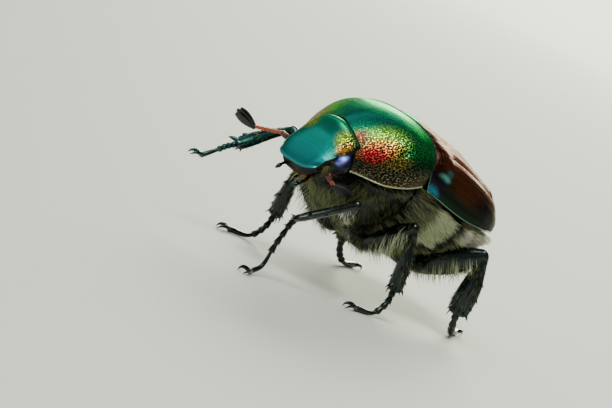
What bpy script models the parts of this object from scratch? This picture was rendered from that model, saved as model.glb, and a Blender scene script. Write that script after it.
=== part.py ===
# A Japanese beetle, Popillia japonica, at life size, standing on five feet with one raised.
# Body axes: x to the animal's left, y to its rear, z up, with zero on the midline near the
# wing-case margins. Lengths are in millimetres and become metres when a mesh is made.

import math

import bmesh
import bpy
import numpy as np
from mathutils import Matrix, Vector

# Stance: the body's zero stands this high over the floor, and its head is tipped up a little
stance_height = 4.6
head_up = math.radians(2.0)
to_metres = 0.001
left, right = 1, -1

# Gaps between neighbours, and the plates' thickness in the middle and at their edges
joint_gap = 0.07
plate_thick = 0.5
plate_edge = 0.36
under_plate = 0.82

# The hind body at stations from the shoulders to the tail
hind_y = (-1.4, -0.6, 0.5, 1.8, 3.0, 4.0, 4.7, 5.2)
hind_half_width = (2.88, 2.97, 3.06, 3.08, 2.94, 2.56, 2.06, 1.4)
hind_top = (2.46, 2.5, 2.4, 2.12, 1.72, 1.27, 0.85, 0.42)
hind_margin = (0.78, 0.6, 0.36, 0.14, 0.06, -0.02, -0.08, -0.15)
hind_belly = (-2.4, -2.6, -2.8, -2.78, -2.6, -2.25, -1.85, -1.4)
back_power = 2.3
belly_power = 1.65

# The hood of the pronotum, which leans forward over the head
hood_y = (-4.3, -3.6, -2.8, -2.0, -1.1)
hood_half_width = (1.2, 1.68, 2.36, 2.74, 2.84)
hood_top = (1.0, 1.54, 2.05, 2.37, 2.5)
hood_margin = (-0.12, -0.04, 0.06, 0.36, 0.8)
hood_belly = (-0.7, -0.98, -1.55, -1.98, -2.35)
hood_power = (1.6, 1.66, 1.9, 2.2, 2.3)
hood_front = -3.74
hood_bow = 0.1
hood_rear = -1.12

# The head, which hangs from the neck at head_slope
neck = (0.0, -3.74, 0.98)
head_slope = math.radians(49.0)
head_along = (-0.45, 0.0, 0.4, 0.85, 1.25, 1.65, 2.0, 2.33)
head_half_width = (1.05, 1.28, 1.32, 1.24, 1.14, 1.06, 1.02, 0.95)
head_sink = (0.25, -0.26, -0.3, -0.27, -0.21, -0.15, -0.1, -0.04)
brow_share = 0.3
head_deep = (0.9, 1.25, 1.45, 1.4, 1.15, 0.9, 0.62, 0.45)
head_power = (2.3, 2.3, 2.4, 2.7, 3.1, 3.4, 3.6, 3.6)
head_front_fall = 0.07
head_corner_back = 0.36
eye_centre = (1.05, -3.88, -0.05)
eye_radii = (0.44, 0.44, 0.44)

# Wing cases and scutellum
scutellum_base = -1.02
scutellum_tip = 0.28
scutellum_half_width = 0.66
wing_tip = 4.85
wing_corner_back = 0.62
wing_seam = 0.085
wing_ridges = 5
ridge_height = 0.04


def smooth(stations, values, at):
    """The value at a place, on a smooth curve through the values at the stations."""
    stations = np.asarray(stations, float)
    values = np.asarray(values, float)
    slopes = np.gradient(values, stations)
    at = np.clip(np.asarray(at, float), stations[0], stations[-1])
    i = np.clip(np.searchsorted(stations, at) - 1, 0, len(stations) - 2)
    span = stations[i + 1] - stations[i]
    t = (at - stations[i]) / span
    start = (1 + 2 * t) * (1 - t) ** 2 * values[i] + t * (1 - t) ** 2 * span * slopes[i]
    end = t * t * (3 - 2 * t) * values[i + 1] - t * t * (1 - t) * span * slopes[i + 1]
    return start + end


def bump(x, y, centre, spread):
    """1 at the centre, falling smoothly to nothing a few spreads away."""
    return np.exp(-(((x - centre[0]) / spread[0]) ** 2) - ((y - centre[1]) / spread[1]) ** 2)


def rounded(value, power):
    return np.sign(value) * np.abs(value) ** (2.0 / power)


def section(half_width, top, middle, low, angle, top_power=back_power):
    """(x, z) on a rounded section, from the left margin at angle 0 over the back."""
    cosine, sine = np.cos(angle), np.sin(angle)
    power = np.where(sine >= 0, top_power, belly_power)
    rise = np.where(sine >= 0, top - middle, middle - low)
    return half_width * rounded(cosine, power), middle + rise * rounded(sine, power)


def unit(v):
    v = np.asarray(v, float)
    return v / np.linalg.norm(v)


# Meshes

def add_object(name, mesh, material, parent):
    obj = bpy.data.objects.new(name, mesh)
    beetle.objects.link(obj)
    obj.parent = parent
    if material:
        mesh.materials.append(material)
    return obj


def face_outwards(bm):
    bmesh.ops.recalc_face_normals(bm, faces=bm.faces)
    if bm.calc_volume(signed=True) < 0:
        bmesh.ops.reverse_faces(bm, faces=bm.faces)


def loft(name, rings, start, end, material=None, parent=None):
    """A closed form through rings of points, each end drawn to one point."""
    bm = bmesh.new()
    rows = [[bm.verts.new(Vector(p) * to_metres) for p in ring] for ring in rings]
    around = len(rows[0])
    for low, high in zip(rows, rows[1:]):
        for j in range(around):
            k = (j + 1) % around
            bm.faces.new((low[j], low[k], high[k], high[j]))
    first = bm.verts.new(Vector(start) * to_metres)
    last = bm.verts.new(Vector(end) * to_metres)
    for j in range(around):
        k = (j + 1) % around
        bm.faces.new((first, rows[0][k], rows[0][j]))
        bm.faces.new((last, rows[-1][j], rows[-1][k]))
    face_outwards(bm)
    mesh = bpy.data.meshes.new(name)
    bm.to_mesh(mesh)
    bm.free()
    return add_object(name, mesh, material, parent or body_point)


def plate(name, outer, columns, rows, material=None, extra=0.0):
    """A plate: a grid laid on the outer surface and thickened inwards, thinner at its edges."""
    bm = bmesh.new()
    bmesh.ops.create_grid(bm, x_segments=columns, y_segments=rows, size=0.5)
    weights = []
    for v in bm.verts:
        u, w = v.co.x + 0.5, v.co.y + 0.5
        edge = min(u, 1 - u, w, 1 - w)
        share = plate_edge + (1 - plate_edge) * min(1.0, edge / 0.12)
        weights.append((plate_thick * share + extra) / (plate_thick + extra))
        v.co = Vector(outer(u, w)) * to_metres
    bm.normal_update()
    if sum(face.normal.z for face in bm.faces) < 0:
        bmesh.ops.reverse_faces(bm, faces=bm.faces)
    mesh = bpy.data.meshes.new(name)
    bm.to_mesh(mesh)
    bm.free()
    obj = add_object(name, mesh, material, body_point)
    group = obj.vertex_groups.new(name="thickness")
    for i, weight in enumerate(weights):
        group.add([i], weight, "REPLACE")
    solidify = obj.modifiers.new("thickness", "SOLIDIFY")
    solidify.thickness = (plate_thick + extra) * to_metres
    solidify.offset = -1
    solidify.vertex_group = "thickness"
    return obj


def ball(name, centre, radii, turn=None, segments=14, rings=8, material=None):
    """An ellipsoid, turned by a rotation matrix where one is given."""
    bm = bmesh.new()
    bmesh.ops.create_uvsphere(bm, u_segments=segments, v_segments=rings, radius=1.0)
    for v in bm.verts:
        place = Vector((v.co.x * radii[0], v.co.y * radii[1], v.co.z * radii[2]))
        if turn is not None:
            place = turn @ place
        v.co = (place + Vector(centre)) * to_metres
    mesh = bpy.data.meshes.new(name)
    bm.to_mesh(mesh)
    bm.free()
    return add_object(name, mesh, material, body_point)


def evaluated_mesh(obj):
    bpy.context.view_layer.update()
    graph = bpy.context.evaluated_depsgraph_get()
    return bpy.data.meshes.new_from_object(obj.evaluated_get(graph))


def keep_largest(mesh):
    """Keeps the largest closed surface that a join or a cut has left."""
    bm = bmesh.new()
    bm.from_mesh(mesh)
    unseen = set(bm.verts)
    islands = []
    while unseen:
        stack = [unseen.pop()]
        island = set(stack)
        while stack:
            for edge in stack.pop().link_edges:
                for v in edge.verts:
                    if v in unseen:
                        unseen.remove(v)
                        island.add(v)
                        stack.append(v)
        islands.append(island)
    islands.sort(key=len)
    for island in islands[:-1]:
        bmesh.ops.delete(bm, geom=sorted(island, key=lambda v: v.index), context="VERTS")
    bm.to_mesh(mesh)
    bm.free()


def combine(obj, others, operation):
    """Joins the others to obj, or cuts them from it, and removes them."""
    group = bpy.data.collections.new(obj.name + "_pieces")
    bpy.context.scene.collection.children.link(group)
    for other in others:
        beetle.objects.unlink(other)
        group.objects.link(other)
    modifier = obj.modifiers.new(operation.lower(), "BOOLEAN")
    modifier.operation = operation
    modifier.operand_type = "COLLECTION"
    modifier.collection = group
    modifier.solver = "MANIFOLD"
    mesh = evaluated_mesh(obj)
    obj.modifiers.clear()
    obj.data = mesh
    keep_largest(mesh)
    for other in others:
        bpy.data.objects.remove(other)
    bpy.data.collections.remove(group)
    return obj


# Paths and limbs

def curve_points(points, count):
    """Evenly spaced points on a smooth curve through the given points."""
    points = np.asarray(points, float)
    steps = np.linalg.norm(np.diff(points, axis=0), axis=1)
    stations = np.concatenate([[0], np.cumsum(steps)])
    at = np.linspace(0, stations[-1], count)
    return np.stack([smooth(stations, points[:, k], at) for k in range(3)], axis=1)


def limb_rings(path, wide, thick, towards, around):
    """Rings along a path, wide towards one direction and thick across it."""
    rings = []
    for point, tangent, w, t in zip(path, np.gradient(path, axis=0), wide, thick):
        tangent = unit(tangent)
        first = unit(np.asarray(towards, float) - np.dot(towards, tangent) * tangent)
        second = np.cross(tangent, first)
        angles = np.linspace(0, 2 * math.pi, around, endpoint=False)
        rings.append([point + first * w * math.cos(a) + second * t * math.sin(a) for a in angles])
    return rings


def limb(name, points, wide, thick, towards, count=7, around=10, grow=0.0, material=None):
    """A limb along points, with half-widths and half-thicknesses given at even stations."""
    path = curve_points(points, count)
    share = np.linspace(0, 1, count)
    wide = smooth(np.linspace(0, 1, len(wide)), wide, share) + grow
    thick = smooth(np.linspace(0, 1, len(thick)), thick, share) + grow
    rings = limb_rings(path, wide, thick, towards, around)
    start = path[0] - unit(path[1] - path[0]) * (0.6 * min(wide[0], thick[0]) + grow)
    end = path[-1] + unit(path[-1] - path[-2]) * (0.6 * min(wide[-1], thick[-1]) + grow)
    return loft(name, rings, start, end, material)


def spine(name, root, direction, length, radius, around=5):
    """A tapered spine whose root is sunk in what it grows from."""
    root, direction = np.asarray(root, float), unit(direction)
    side = np.cross(direction, (0.31, 0.83, 0.46))
    rings = []
    for along, share in ((-0.3, 1.0), (0.45, 0.75)):
        path = np.array([root + direction * length * (along - 0.01), root + direction * length * along,
                         root + direction * length * (along + 0.01)])
        rings.append(limb_rings(path, [0, radius * share, 0], [0, radius * share, 0], side, around)[1])
    return loft(name, rings, root - direction * length * 0.35, root + direction * length)


def lock(name, root, out, lie, length, width, thickness):
    """A flat tapered lock, which leaves the surface along out and bends over towards lie."""
    root, out, lie = np.asarray(root, float), unit(out), unit(lie)
    shares = np.array([-0.3, 0.15, 0.65])
    path = []
    for s in shares:
        rise, bend = s * (1 - 0.45 * max(s, 0)), 0.75 * max(s, 0) ** 2
        path.append(root + length * (out * rise + lie * bend))
    tip = root + length * (out * 0.55 + lie * 0.75)
    side = np.cross(out, lie)
    full = np.vstack([path, tip])
    sizes = np.array([0.8, 1.0, 0.7, 0.1])
    rings = limb_rings(full, sizes * width / 2, sizes * thickness / 2, side, 5)[:-1]
    return loft(name, rings, path[0] - out * 0.03, tip)


# Materials

def finish(name, colour, roughness, metallic):
    material = bpy.data.materials.new(name)
    material.use_nodes = True
    shader = material.node_tree.nodes["Principled BSDF"]
    shader.inputs["Base Color"].default_value = (*colour, 1.0)
    shader.inputs["Roughness"].default_value = roughness
    shader.inputs["Metallic"].default_value = metallic
    material.diffuse_color = (*colour, 1.0)
    return material


# The plates of the back

def base_line(share):
    """How far back the pronotum's base reaches, from the midline at 0 to its rear angle at 1."""
    share = np.abs(share)
    return hood_rear + 0.13 * np.sin(math.pi * np.clip(share, 0, 1)) ** 2 - 0.24 * share ** 8


def hood_place(across, along):
    """A point of the pronotum: across from the left margin at 1 to the right at -1."""
    front = hood_front - hood_bow * abs(across) ** 2.5
    y = front + (base_line(across) - front) * along
    angle = math.pi / 2 - (math.pi / 2 + 0.09) * across
    x, z = section(smooth(hood_y, hood_half_width, y), smooth(hood_y, hood_top, y),
                   smooth(hood_y, hood_margin, y), smooth(hood_y, hood_belly, y), angle,
                   smooth(hood_y, hood_power, y))
    rim = 0.05 * max(0.0, abs(across) - 0.93) / 0.07
    return (x + math.copysign(rim, across), y, z)


def pronotum(material):
    shield = plate("pronotum", lambda u, w: hood_place(1 - 2 * u, w), 24, 10, material)
    rooms = [eye(side, "eye_room", grow=joint_gap) for side in (left, right)]
    return combine(shield, rooms, "DIFFERENCE")


def pronotum_room():
    """The space of the pronotum with a gap under it and in front of it."""
    def outer(u, w):
        x, y, z = hood_place(1.05 * (1 - 2 * u), 1.03 * w - 0.03)
        return (x * 1.02, y, z + 0.04)
    return plate("pronotum_room", outer, 24, 10, extra=0.04 + joint_gap)


def scutellum_edge(y):
    """Half the scutellum's width, which narrows in a bow to its tip."""
    share = np.clip((y - scutellum_base) / (scutellum_tip - scutellum_base), 0, 1)
    return scutellum_half_width * np.sqrt(1 - share ** 1.5)


def scutellum_place(across, along):
    y = scutellum_base + 0.03 + (scutellum_tip - 0.1 - scutellum_base) * along
    x = across * scutellum_edge(y)
    return (x, y, smooth(hind_y, hind_top, y) + 0.02 - 0.04 * across ** 2 - 0.1 * (1 - along) ** 4)


def scutellum(material):
    return plate("scutellum", lambda u, w: scutellum_place(1 - 2 * u, w), 6, 6, material)


def wing_place(across, along):
    """A point of the left wing case: across from the seam to the margin, along from base to tip."""
    front = base_line(0.1 + 0.86 * across) + 2 * joint_gap + 0.45 * across ** 8
    back = wing_tip - wing_corner_back * across ** 3 - 0.15 * (1 - across) ** 8
    y = front + (back - front) * along
    half_width = float(smooth(hind_y, hind_half_width, y))
    seam = wing_seam
    if y < scutellum_tip:
        seam = max(seam, float(scutellum_edge(y)) + joint_gap)
    seam_angle = math.acos((seam / half_width) ** (back_power / 2))
    angle = seam_angle - (seam_angle + 0.11) * across
    x, z = section(half_width, float(smooth(hind_y, hind_top, y)), float(smooth(hind_y, hind_margin, y)),
                   float(smooth(hind_y, hind_belly, y)), angle)
    out = unit((max(math.cos(angle), 0.05), 0.1, max(math.sin(angle), 0.05)))
    lift = 0.12 * bump(x, y, (2.5, -0.35), (0.35, 0.45)) + 0.12 * bump(x, y, (1.7, 3.85), (0.45, 0.45))
    lift -= 0.12 * bump(x, y, (0.9, 0.5), (0.6, 0.5)) + 0.2 * math.exp(-(y - front) / 0.16)
    fade = min(1.0, 5 * (1 - across)) * min(1.0, 6 * along) * min(1.0, 5 * (1 - along))
    lift += ridge_height * math.cos(2 * math.pi * wing_ridges * across) * fade
    return np.array((float(x), y, float(z))) + out * lift


def wing_case(side, name, material):
    def outer(u, w):
        x, y, z = wing_place(1 - u if side == left else u, w)
        return (side * x, y, z)
    return plate(name, outer, 20, 12, material)


# The trunk under the plates

def trunk_ring(y, around, widths, tops, margins, bellies, stations, cover=under_plate, squeeze=0.0):
    """A section of the trunk, sunk under the plates above and bare below."""
    angles = np.linspace(0, 2 * math.pi, around, endpoint=False)
    below = np.clip(-np.sin(angles) / 0.34, 0, 1)
    inset = cover + (0.34 - cover) * below * below * (3 - 2 * below) + squeeze
    x, z = section(smooth(stations, widths, y) - inset, smooth(stations, tops, y) - inset,
                   smooth(stations, margins, y), smooth(stations, bellies, y) + squeeze, angles)
    return np.stack([x, np.full(around, y), z], axis=1)


def trunk_part(name, ys, stations, widths, tops, margins, bellies, material, groove_at=(), around=24):
    rings = [trunk_ring(y, around, widths, tops, margins, bellies, stations,
                        squeeze=0.07 if i in groove_at else 0.0) for i, y in enumerate(ys)]
    first, last = (np.array((0, ring[0][1], np.mean(ring[:, 2]))) for ring in (rings[0], rings[-1]))
    return loft(name, rings, first, last, material)


def prothorax(material):
    ys = (-3.25, -3.0, -2.6, -2.2, -1.8, -1.45, -1.26)
    body = trunk_part("prothorax", ys, hood_y, hood_half_width, hood_top, hood_margin, hood_belly, material)
    return combine(body, [head_solid("head_room", joint_gap)], "DIFFERENCE")


def thorax(material):
    ys = (-1.16, -0.8, -0.4, 0.1, 0.6, 1.1, 1.5, 1.78)
    return trunk_part("thorax", ys, hind_y, hind_half_width, hind_top, hind_margin, hind_belly, material)


segment_edges = (1.86, 2.46, 3.06, 3.66, 4.22, 4.72)


def abdomen(material):
    """Five belly rings with a groove between each and the next."""
    ys = [segment_edges[0]]
    grooves = []
    for start, end in zip(segment_edges, segment_edges[1:]):
        ys += [start + 0.16, end - 0.1, end]
        grooves.append(len(ys) - 1)
    body = trunk_part("abdomen", ys, hind_y, hind_half_width, hind_top, hind_margin, hind_belly, material,
                      groove_at=grooves[:-1])
    tufts = []
    rng = np.random.default_rng(5)
    for side in (left, right):
        for start, end in zip(segment_edges, segment_edges[1:]):
            tufts += tuft((start + end) / 2 + 0.02, side, rng)
    return combine(body, tufts, "UNION")


def tuft(y, side, rng):
    """A clump of white bristles on the flank, just below the wing-case margin."""
    pieces = []
    for k in range(3):
        at = y + (k - 1) * 0.13
        ring = trunk_ring(at, 72, hind_half_width, hind_top, hind_margin, hind_belly, hind_y)
        row = 66 + (k % 2) * 1.6
        lower = ring[int(row)]
        root = np.array((side * lower[0], at, lower[2]))
        out = (side * 0.85, 0.08 * (k - 1), -0.28 + 0.16 * (k % 2))
        lie = (side * 0.2, 0.75, 0.2 + rng.uniform(-0.2, 0.2))
        pieces.append(lock("lock", root - unit(out) * 0.12, out, lie, rng.uniform(0.5, 0.62), 0.36, 0.25))
    return pieces


pygidium_y = (4.85, 4.95, 5.12, 5.28, 5.4, 5.47)
pygidium_half_width = (1.78, 1.66, 1.44, 1.12, 0.76, 0.4)
pygidium_top = (0.42, 0.2, -0.16, -0.6, -1.0, -1.28)
pygidium_low = (-1.82, -1.8, -1.78, -1.74, -1.68, -1.6)


def pygidium(material):
    """The steep last plate, with its two white tufts near the upper edge."""
    rings = []
    for y, half_width, top, low in zip(pygidium_y, pygidium_half_width, pygidium_top, pygidium_low):
        middle = (top + low) / 2
        angles = np.linspace(0, 2 * math.pi, 24, endpoint=False)
        x, z = section(half_width, top, middle, low, angles)
        rings.append(np.stack([x, np.full(24, y), z], axis=1))
    start = (0, pygidium_y[0], (pygidium_top[0] + pygidium_low[0]) / 2)
    end = (0, pygidium_y[-1] + 0.03, (pygidium_top[-1] + pygidium_low[-1]) / 2)
    body = loft("pygidium", rings, start, end, material)
    locks = []
    rng = np.random.default_rng(8)
    for side in (left, right):
        for k in range(4):
            x = side * (0.7 + 0.22 * (k % 2))
            y = 5.12 + 0.12 * (k // 2)
            z = float(smooth(pygidium_y, pygidium_top, y)) - 0.12 * (abs(x) / 1.2) ** 2
            lie = (side * 0.3 + rng.uniform(-0.2, 0.2), 0.45, -0.7)
            locks.append(lock("lock", (x, y - 0.08, z - 0.1), (side * 0.15, 0.75, 0.6), lie,
                              rng.uniform(0.45, 0.55), 0.3, 0.24))
    return combine(body, locks, "UNION")


# Head, eyes, mouthparts and antennae

head_line = np.array((0, -math.cos(head_slope), -math.sin(head_slope)))
head_up_line = np.array((0, -math.sin(head_slope), math.cos(head_slope)))


def head_place(along, angle):
    """A point of the head: angle 0 on the left side, a quarter turn on the brow."""
    half_width = float(smooth(head_along, head_half_width, along))
    deep = float(smooth(head_along, head_deep, along))
    sink = float(smooth(head_along, head_sink, along))
    power = float(smooth(head_along, head_power, along))
    cosine, sine = math.cos(angle), math.sin(angle)
    x = half_width * float(rounded(cosine, power if sine > 0 else 2.4))
    share = brow_share if sine > 0 else 1 - brow_share
    height = deep * share * float(rounded(sine, power if sine > 0 else 2.0))
    fall = 0.22 * max(0.0, 1 - along / 1.6) * (x / half_width) ** 2
    front = min(max((along - 1.2) / 1.0, 0.0), 1.0) ** 2
    fall += head_front_fall * front
    along -= head_corner_back * front * abs(x) ** 4
    centre = np.array(neck) + head_line * along - head_up_line * (sink + deep * brow_share)
    return centre + np.array((x, 0, 0)) + head_up_line * (height - fall)


def head_solid(name, grow=0.0, material=None):
    stations = (-0.45, -0.1, 0.3, 0.7, 1.1, 1.5, 1.85, 2.15, 2.3)
    around = 24
    rings = []
    for s in stations:
        ring = np.array([head_place(s, 2 * math.pi * j / around) for j in range(around)])
        middle = np.mean(ring, axis=0)
        out = ring - middle
        rings.append(ring + grow * out / np.linalg.norm(out, axis=1)[:, None])
    start = np.mean(rings[0], axis=0) - head_line * grow
    end = np.mean(rings[-1], axis=0) + head_line * (0.02 + grow)
    return loft(name, rings, start, end, material)


def head(material):
    body = head_solid("head", material=material)
    pockets = [pronotum_room()]
    for side in (left, right):
        pockets.append(eye(side, "eye_room", grow=joint_gap))
        pockets.append(antenna_stalk(side, "antenna_room", grow=joint_gap))
    return combine(body, pockets, "DIFFERENCE")


def eye(side, name, material=None, grow=0.0):
    centre = (side * eye_centre[0], eye_centre[1], eye_centre[2])
    return ball(name, centre, [r + grow for r in eye_radii], material=material)


antenna_base = (0.95, -4.35, -0.3)
club_length = 0.95
antennae = {
    left: dict(scape_end=(1.22, -4.25, -0.72), stalk_end=(1.28, -4.0, -0.84), club=(0.32, 0.88, -0.05),
               fan=(0.75, -0.3, -0.3)),
    right: dict(scape_end=(-1.45, -4.72, -0.1), stalk_end=(-2.05, -5.6, -0.36), club=(-0.7, -0.5, 0.28),
                fan=(-0.3, 0.6, 0.75)),
}


def antenna_stalk(side, name, grow=0.0, material=None):
    base = (side * antenna_base[0], antenna_base[1], antenna_base[2])
    points = (base, antennae[side]["scape_end"], antennae[side]["stalk_end"])
    return limb(name, points, (0.23, 0.22, 0.25), (0.23, 0.22, 0.25), (0, 0.2, 1), count=7, around=8,
                grow=grow, material=material)


def antenna(side, name, material):
    """A stalk of fine joints that ends in a club of three leaves."""
    stalk = antenna_stalk(side, name, material=material)
    club_line, fan = unit(antennae[side]["club"]), unit(antennae[side]["fan"])
    stalk_end = np.asarray(antennae[side]["stalk_end"])
    leaves = []
    for k in (-1, 0, 1):
        line = unit(club_line + fan * 0.2 * k)
        root = stalk_end - line * 0.12 + fan * 0.1 * k
        points = (root, root + line * club_length * 0.5, root + line * club_length)
        leaves.append(limb("leaf", points, (0.2, 0.3, 0.2), (0.11, 0.13, 0.1), np.cross(fan, line),
                           count=4, around=7))
    combine(stalk, leaves, "UNION")
    return combine(stalk, [eye(side, "eye_room", grow=joint_gap)], "DIFFERENCE")


# Each palp's root, middle and tip, by how far out, along and up from the head's line they lie
palps = {
    left: (((0.46, 1.7, -0.7), (0.54, 2.3, -0.7), (0.5, 2.75, -0.6)),
           ((0.2, 1.5, -0.95), (0.24, 1.9, -1.02), (0.2, 2.2, -0.95))),
    right: (((0.46, 1.7, -0.6), (0.52, 2.25, -0.46), (0.5, 2.62, -0.36)),
            ((0.2, 1.5, -0.95), (0.24, 1.9, -1.02), (0.2, 2.2, -0.95))),
}


def by_head(x, along, up):
    return np.array(neck) + np.array((x, 0, 0)) + head_line * along + head_up_line * up


def mouthparts(material):
    """The labrum and jaws under the head, with two jointed palps on each side."""
    turn = Matrix(((1, 0, 0), (0, head_line[1], -head_up_line[1]), (0, head_line[2], -head_up_line[2])))
    jaws = ball("mouthparts", by_head(0, 1.55, -0.74), (0.6, 0.55, 0.36), turn, material=material)
    feelers = []
    for side in (left, right):
        for places in palps[side]:
            points = [by_head(side * x, along, up) for x, along, up in places]
            feelers.append(limb("palp", points, (0.2, 0.2, 0.15), (0.2, 0.2, 0.15), (1, 0, 0),
                                count=4, around=6))
    combine(jaws, feelers, "UNION")
    return combine(jaws, [head_solid("head_room", joint_gap)], "DIFFERENCE")


# Legs, in body axes: the hip, knee and ankle of each, then its toes, with their height over the
# floor last. The right front foot reaches forward, and the other five stand.

femur_sizes = {
    "front": ((0.3, 0.4, 0.4, 0.28), (0.28, 0.32, 0.31, 0.26)),
    "mid": ((0.3, 0.42, 0.42, 0.28), (0.28, 0.33, 0.32, 0.26)),
    "hind": ((0.36, 0.54, 0.54, 0.33), (0.3, 0.38, 0.37, 0.28)),
}
tibia_sizes = {
    "front": ((0.25, 0.29, 0.34, 0.32), (0.25, 0.25, 0.26, 0.25)),
    "mid": ((0.25, 0.3, 0.36, 0.34), (0.25, 0.26, 0.3, 0.28)),
    "hind": ((0.27, 0.37, 0.46, 0.43), (0.25, 0.29, 0.34, 0.32)),
}
coxa_places = {
    "front": ((0.6, -2.0, -1.6), (0.5, 0.42, 0.5)),
    "mid": ((0.86, -0.62, -2.4), (0.6, 0.44, 0.4)),
    "hind": ((1.2, 1.72, -2.42), (1.12, 0.42, 0.38)),
}
legs = {
    "front_left": dict(hip=(0.85, -2.2, -1.7), knee=(2.45, -3.67, -1.08), ankle=(1.8, -5.69, -2.43),
                       toes=((1.78, -5.9, 1.3), (1.8, -6.1, 0.42), (1.88, -6.62, 0.16))),
    "mid_left": dict(hip=(1.1, -0.7, -2.55), knee=(2.95, -0.68, -1.0), ankle=(3.25, -0.5, -3.3),
                     toes=((3.27, -0.52, 0.72), (3.2, -0.82, 0.25), (3.02, -1.7, 0.17))),
    "hind_left": dict(hip=(1.1, 1.95, -2.65), knee=(3.3, 3.45, -1.0), ankle=(3.35, 3.45, -3.3),
                      toes=((3.3, 3.7, 0.6), (2.95, 4.3, 0.24), (2.45, 5.2, 0.17))),
    "front_right": dict(hip=(-0.8, -2.02, -1.45), knee=(-2.95, -2.6, -0.05), ankle=(-3.1, -4.76, -1.33),
                        toes=((-3.17, -5.1, 3.27), (-3.22, -5.4, 3.03), (-3.32, -5.95, 2.64))),
    "mid_right": dict(hip=(-1.1, -0.7, -2.55), knee=(-3.05, -1.0, -1.1), ankle=(-3.2, -0.95, -3.3),
                      toes=((-3.25, -1.05, 0.75), (-3.35, -1.45, 0.26), (-3.65, -2.4, 0.17))),
    "hind_right": dict(hip=(-1.1, 1.95, -2.65), knee=(-3.25, 3.3, -1.05), ankle=(-3.4, 3.5, -3.3),
                       toes=((-3.42, 3.85, 0.6), (-3.5, 4.4, 0.24), (-3.7, 5.3, 0.17))),
}


sole_depth = 0.05


def to_floor(point):
    """From body axes to the floor's axes."""
    x, y, z = point
    cosine, sine = math.cos(head_up), math.sin(head_up)
    return np.array((x, y * cosine + z * sine, z * cosine - y * sine + stance_height))


def coxa(leg, name="coxa", grow=0.0, material=None):
    pair, side = leg.split("_")
    (x, y, z), radii = coxa_places[pair]
    x = x if side == "left" else -x
    return ball(name, (x, y, z), [r + grow for r in radii], segments=12, rings=7, material=material)


def femur(leg, name="femur", grow=0.0, material=None):
    pair = leg.split("_")[0]
    hip, knee = (np.array(legs[leg][k]) for k in ("hip", "knee"))
    middle = (hip + knee) / 2 + np.array((0, 0, -0.08))
    wide, thick = femur_sizes[pair]
    return limb(name, (hip, middle, knee), wide, thick, (0, 0, 1), count=7, grow=grow, material=material)


def tibia(leg, name="tibia", grow=0.0, material=None):
    pair = leg.split("_")[0]
    knee, ankle = (np.array(legs[leg][k]) for k in ("knee", "ankle"))
    wide, thick = tibia_sizes[pair]
    towards = knee - np.array(legs[leg]["hip"])
    return limb(name, (knee, (knee + ankle) / 2, ankle), wide, thick, towards, count=6, grow=grow,
                material=material)


def tibia_spines(leg):
    """Two outer teeth on a front shin, and slanted rows of spines with end spurs on the others."""
    pair = leg.split("_")[0]
    knee, ankle = (np.array(legs[leg][k]) for k in ("knee", "ankle"))
    down = unit(ankle - knee)
    outer = unit(knee - np.array(legs[leg]["hip"]))
    outer = unit(outer - np.dot(outer, down) * down)
    across = np.cross(down, outer)
    wide, thick = tibia_sizes[pair]
    spines = []
    if pair == "front":
        for share, length in ((0.7, 0.42), (0.93, 0.5)):
            root = knee + (ankle - knee) * share + outer * wide[2] * 0.6
            spines.append(spine("tooth", root, outer * 0.8 + down * 0.75, length, 0.2, around=6))
        return spines
    for share, angles in ((0.42, (-60, -15, 30)), (0.68, (-75, -25, 25, 70)), (0.94, (-110, -60, 60, 110))):
        for angle in angles:
            a = math.radians(angle)
            w, t = (float(smooth(np.linspace(0, 1, 4), sizes, share)) for sizes in (wide, thick))
            skin = outer * w * math.cos(a) + across * t * math.sin(a)
            root = knee + (ankle - knee) * (share + 0.03 * math.cos(2 * a)) + skin * 0.85
            spines.append(spine("spine", root, unit(skin) * 0.75 + down * 0.8, 0.3, 0.11))
    return spines


def foot(leg, name, material):
    """Five toe joints and two claws, with flats at the floor's level where the foot stands."""
    knee, ankle = (to_floor(legs[leg][k]) for k in ("knee", "ankle"))
    toes = [np.array((x, to_floor((x, y, -stance_height))[1], z)) for x, y, z in legs[leg]["toes"]]
    start = ankle + unit(knee - ankle) * 0.1
    path = curve_points([start, *toes], 14)
    swell = np.array([0.25 if i % 3 else 0.215 for i in range(13)] + [0.22])
    lies_flat = abs(path[0][2] - path[-1][2]) < 0.5
    rings = limb_rings(path, swell, swell, (0, 0, 1) if lies_flat else (1, 0, 0), 8)
    line = unit(path[-1] - path[-2])
    root = path[0] - unit(path[1] - path[0]) * 0.1
    body = loft(name, rings, root, path[-1] + line * 0.1, material, floor_point)
    flat_line = unit((line[0], line[1], 0))
    sideways = np.array((-flat_line[1], flat_line[0], 0))
    claws = []
    for side, length in ((1, 0.62), (-1, 0.52)):
        root = path[-1] - flat_line * 0.1 + sideways * side * 0.08
        middle = path[-1] + flat_line * length * 0.55 + sideways * side * 0.22 + np.array((0, 0, 0.02))
        tip = path[-1] + flat_line * length + sideways * side * 0.24 - np.array((0, 0, 0.12))
        points = curve_points((root, middle, tip), 4)
        sizes = np.array((0.14, 0.15, 0.12, 0.06))
        claw = limb_rings(points, sizes, sizes, (0.3, 0.1, 1), 6)
        first, last = points[0] - flat_line * 0.03, points[-1] + flat_line * 0.06
        claws.append(loft("claw", claw, first, last, None, floor_point))
    combine(body, claws, "UNION")
    combine(body, [tibia(leg, grow=joint_gap)], "DIFFERENCE")
    for v in body.data.vertices:
        if v.co.z < sole_depth * to_metres:
            v.co.z = 0
    return body


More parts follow.
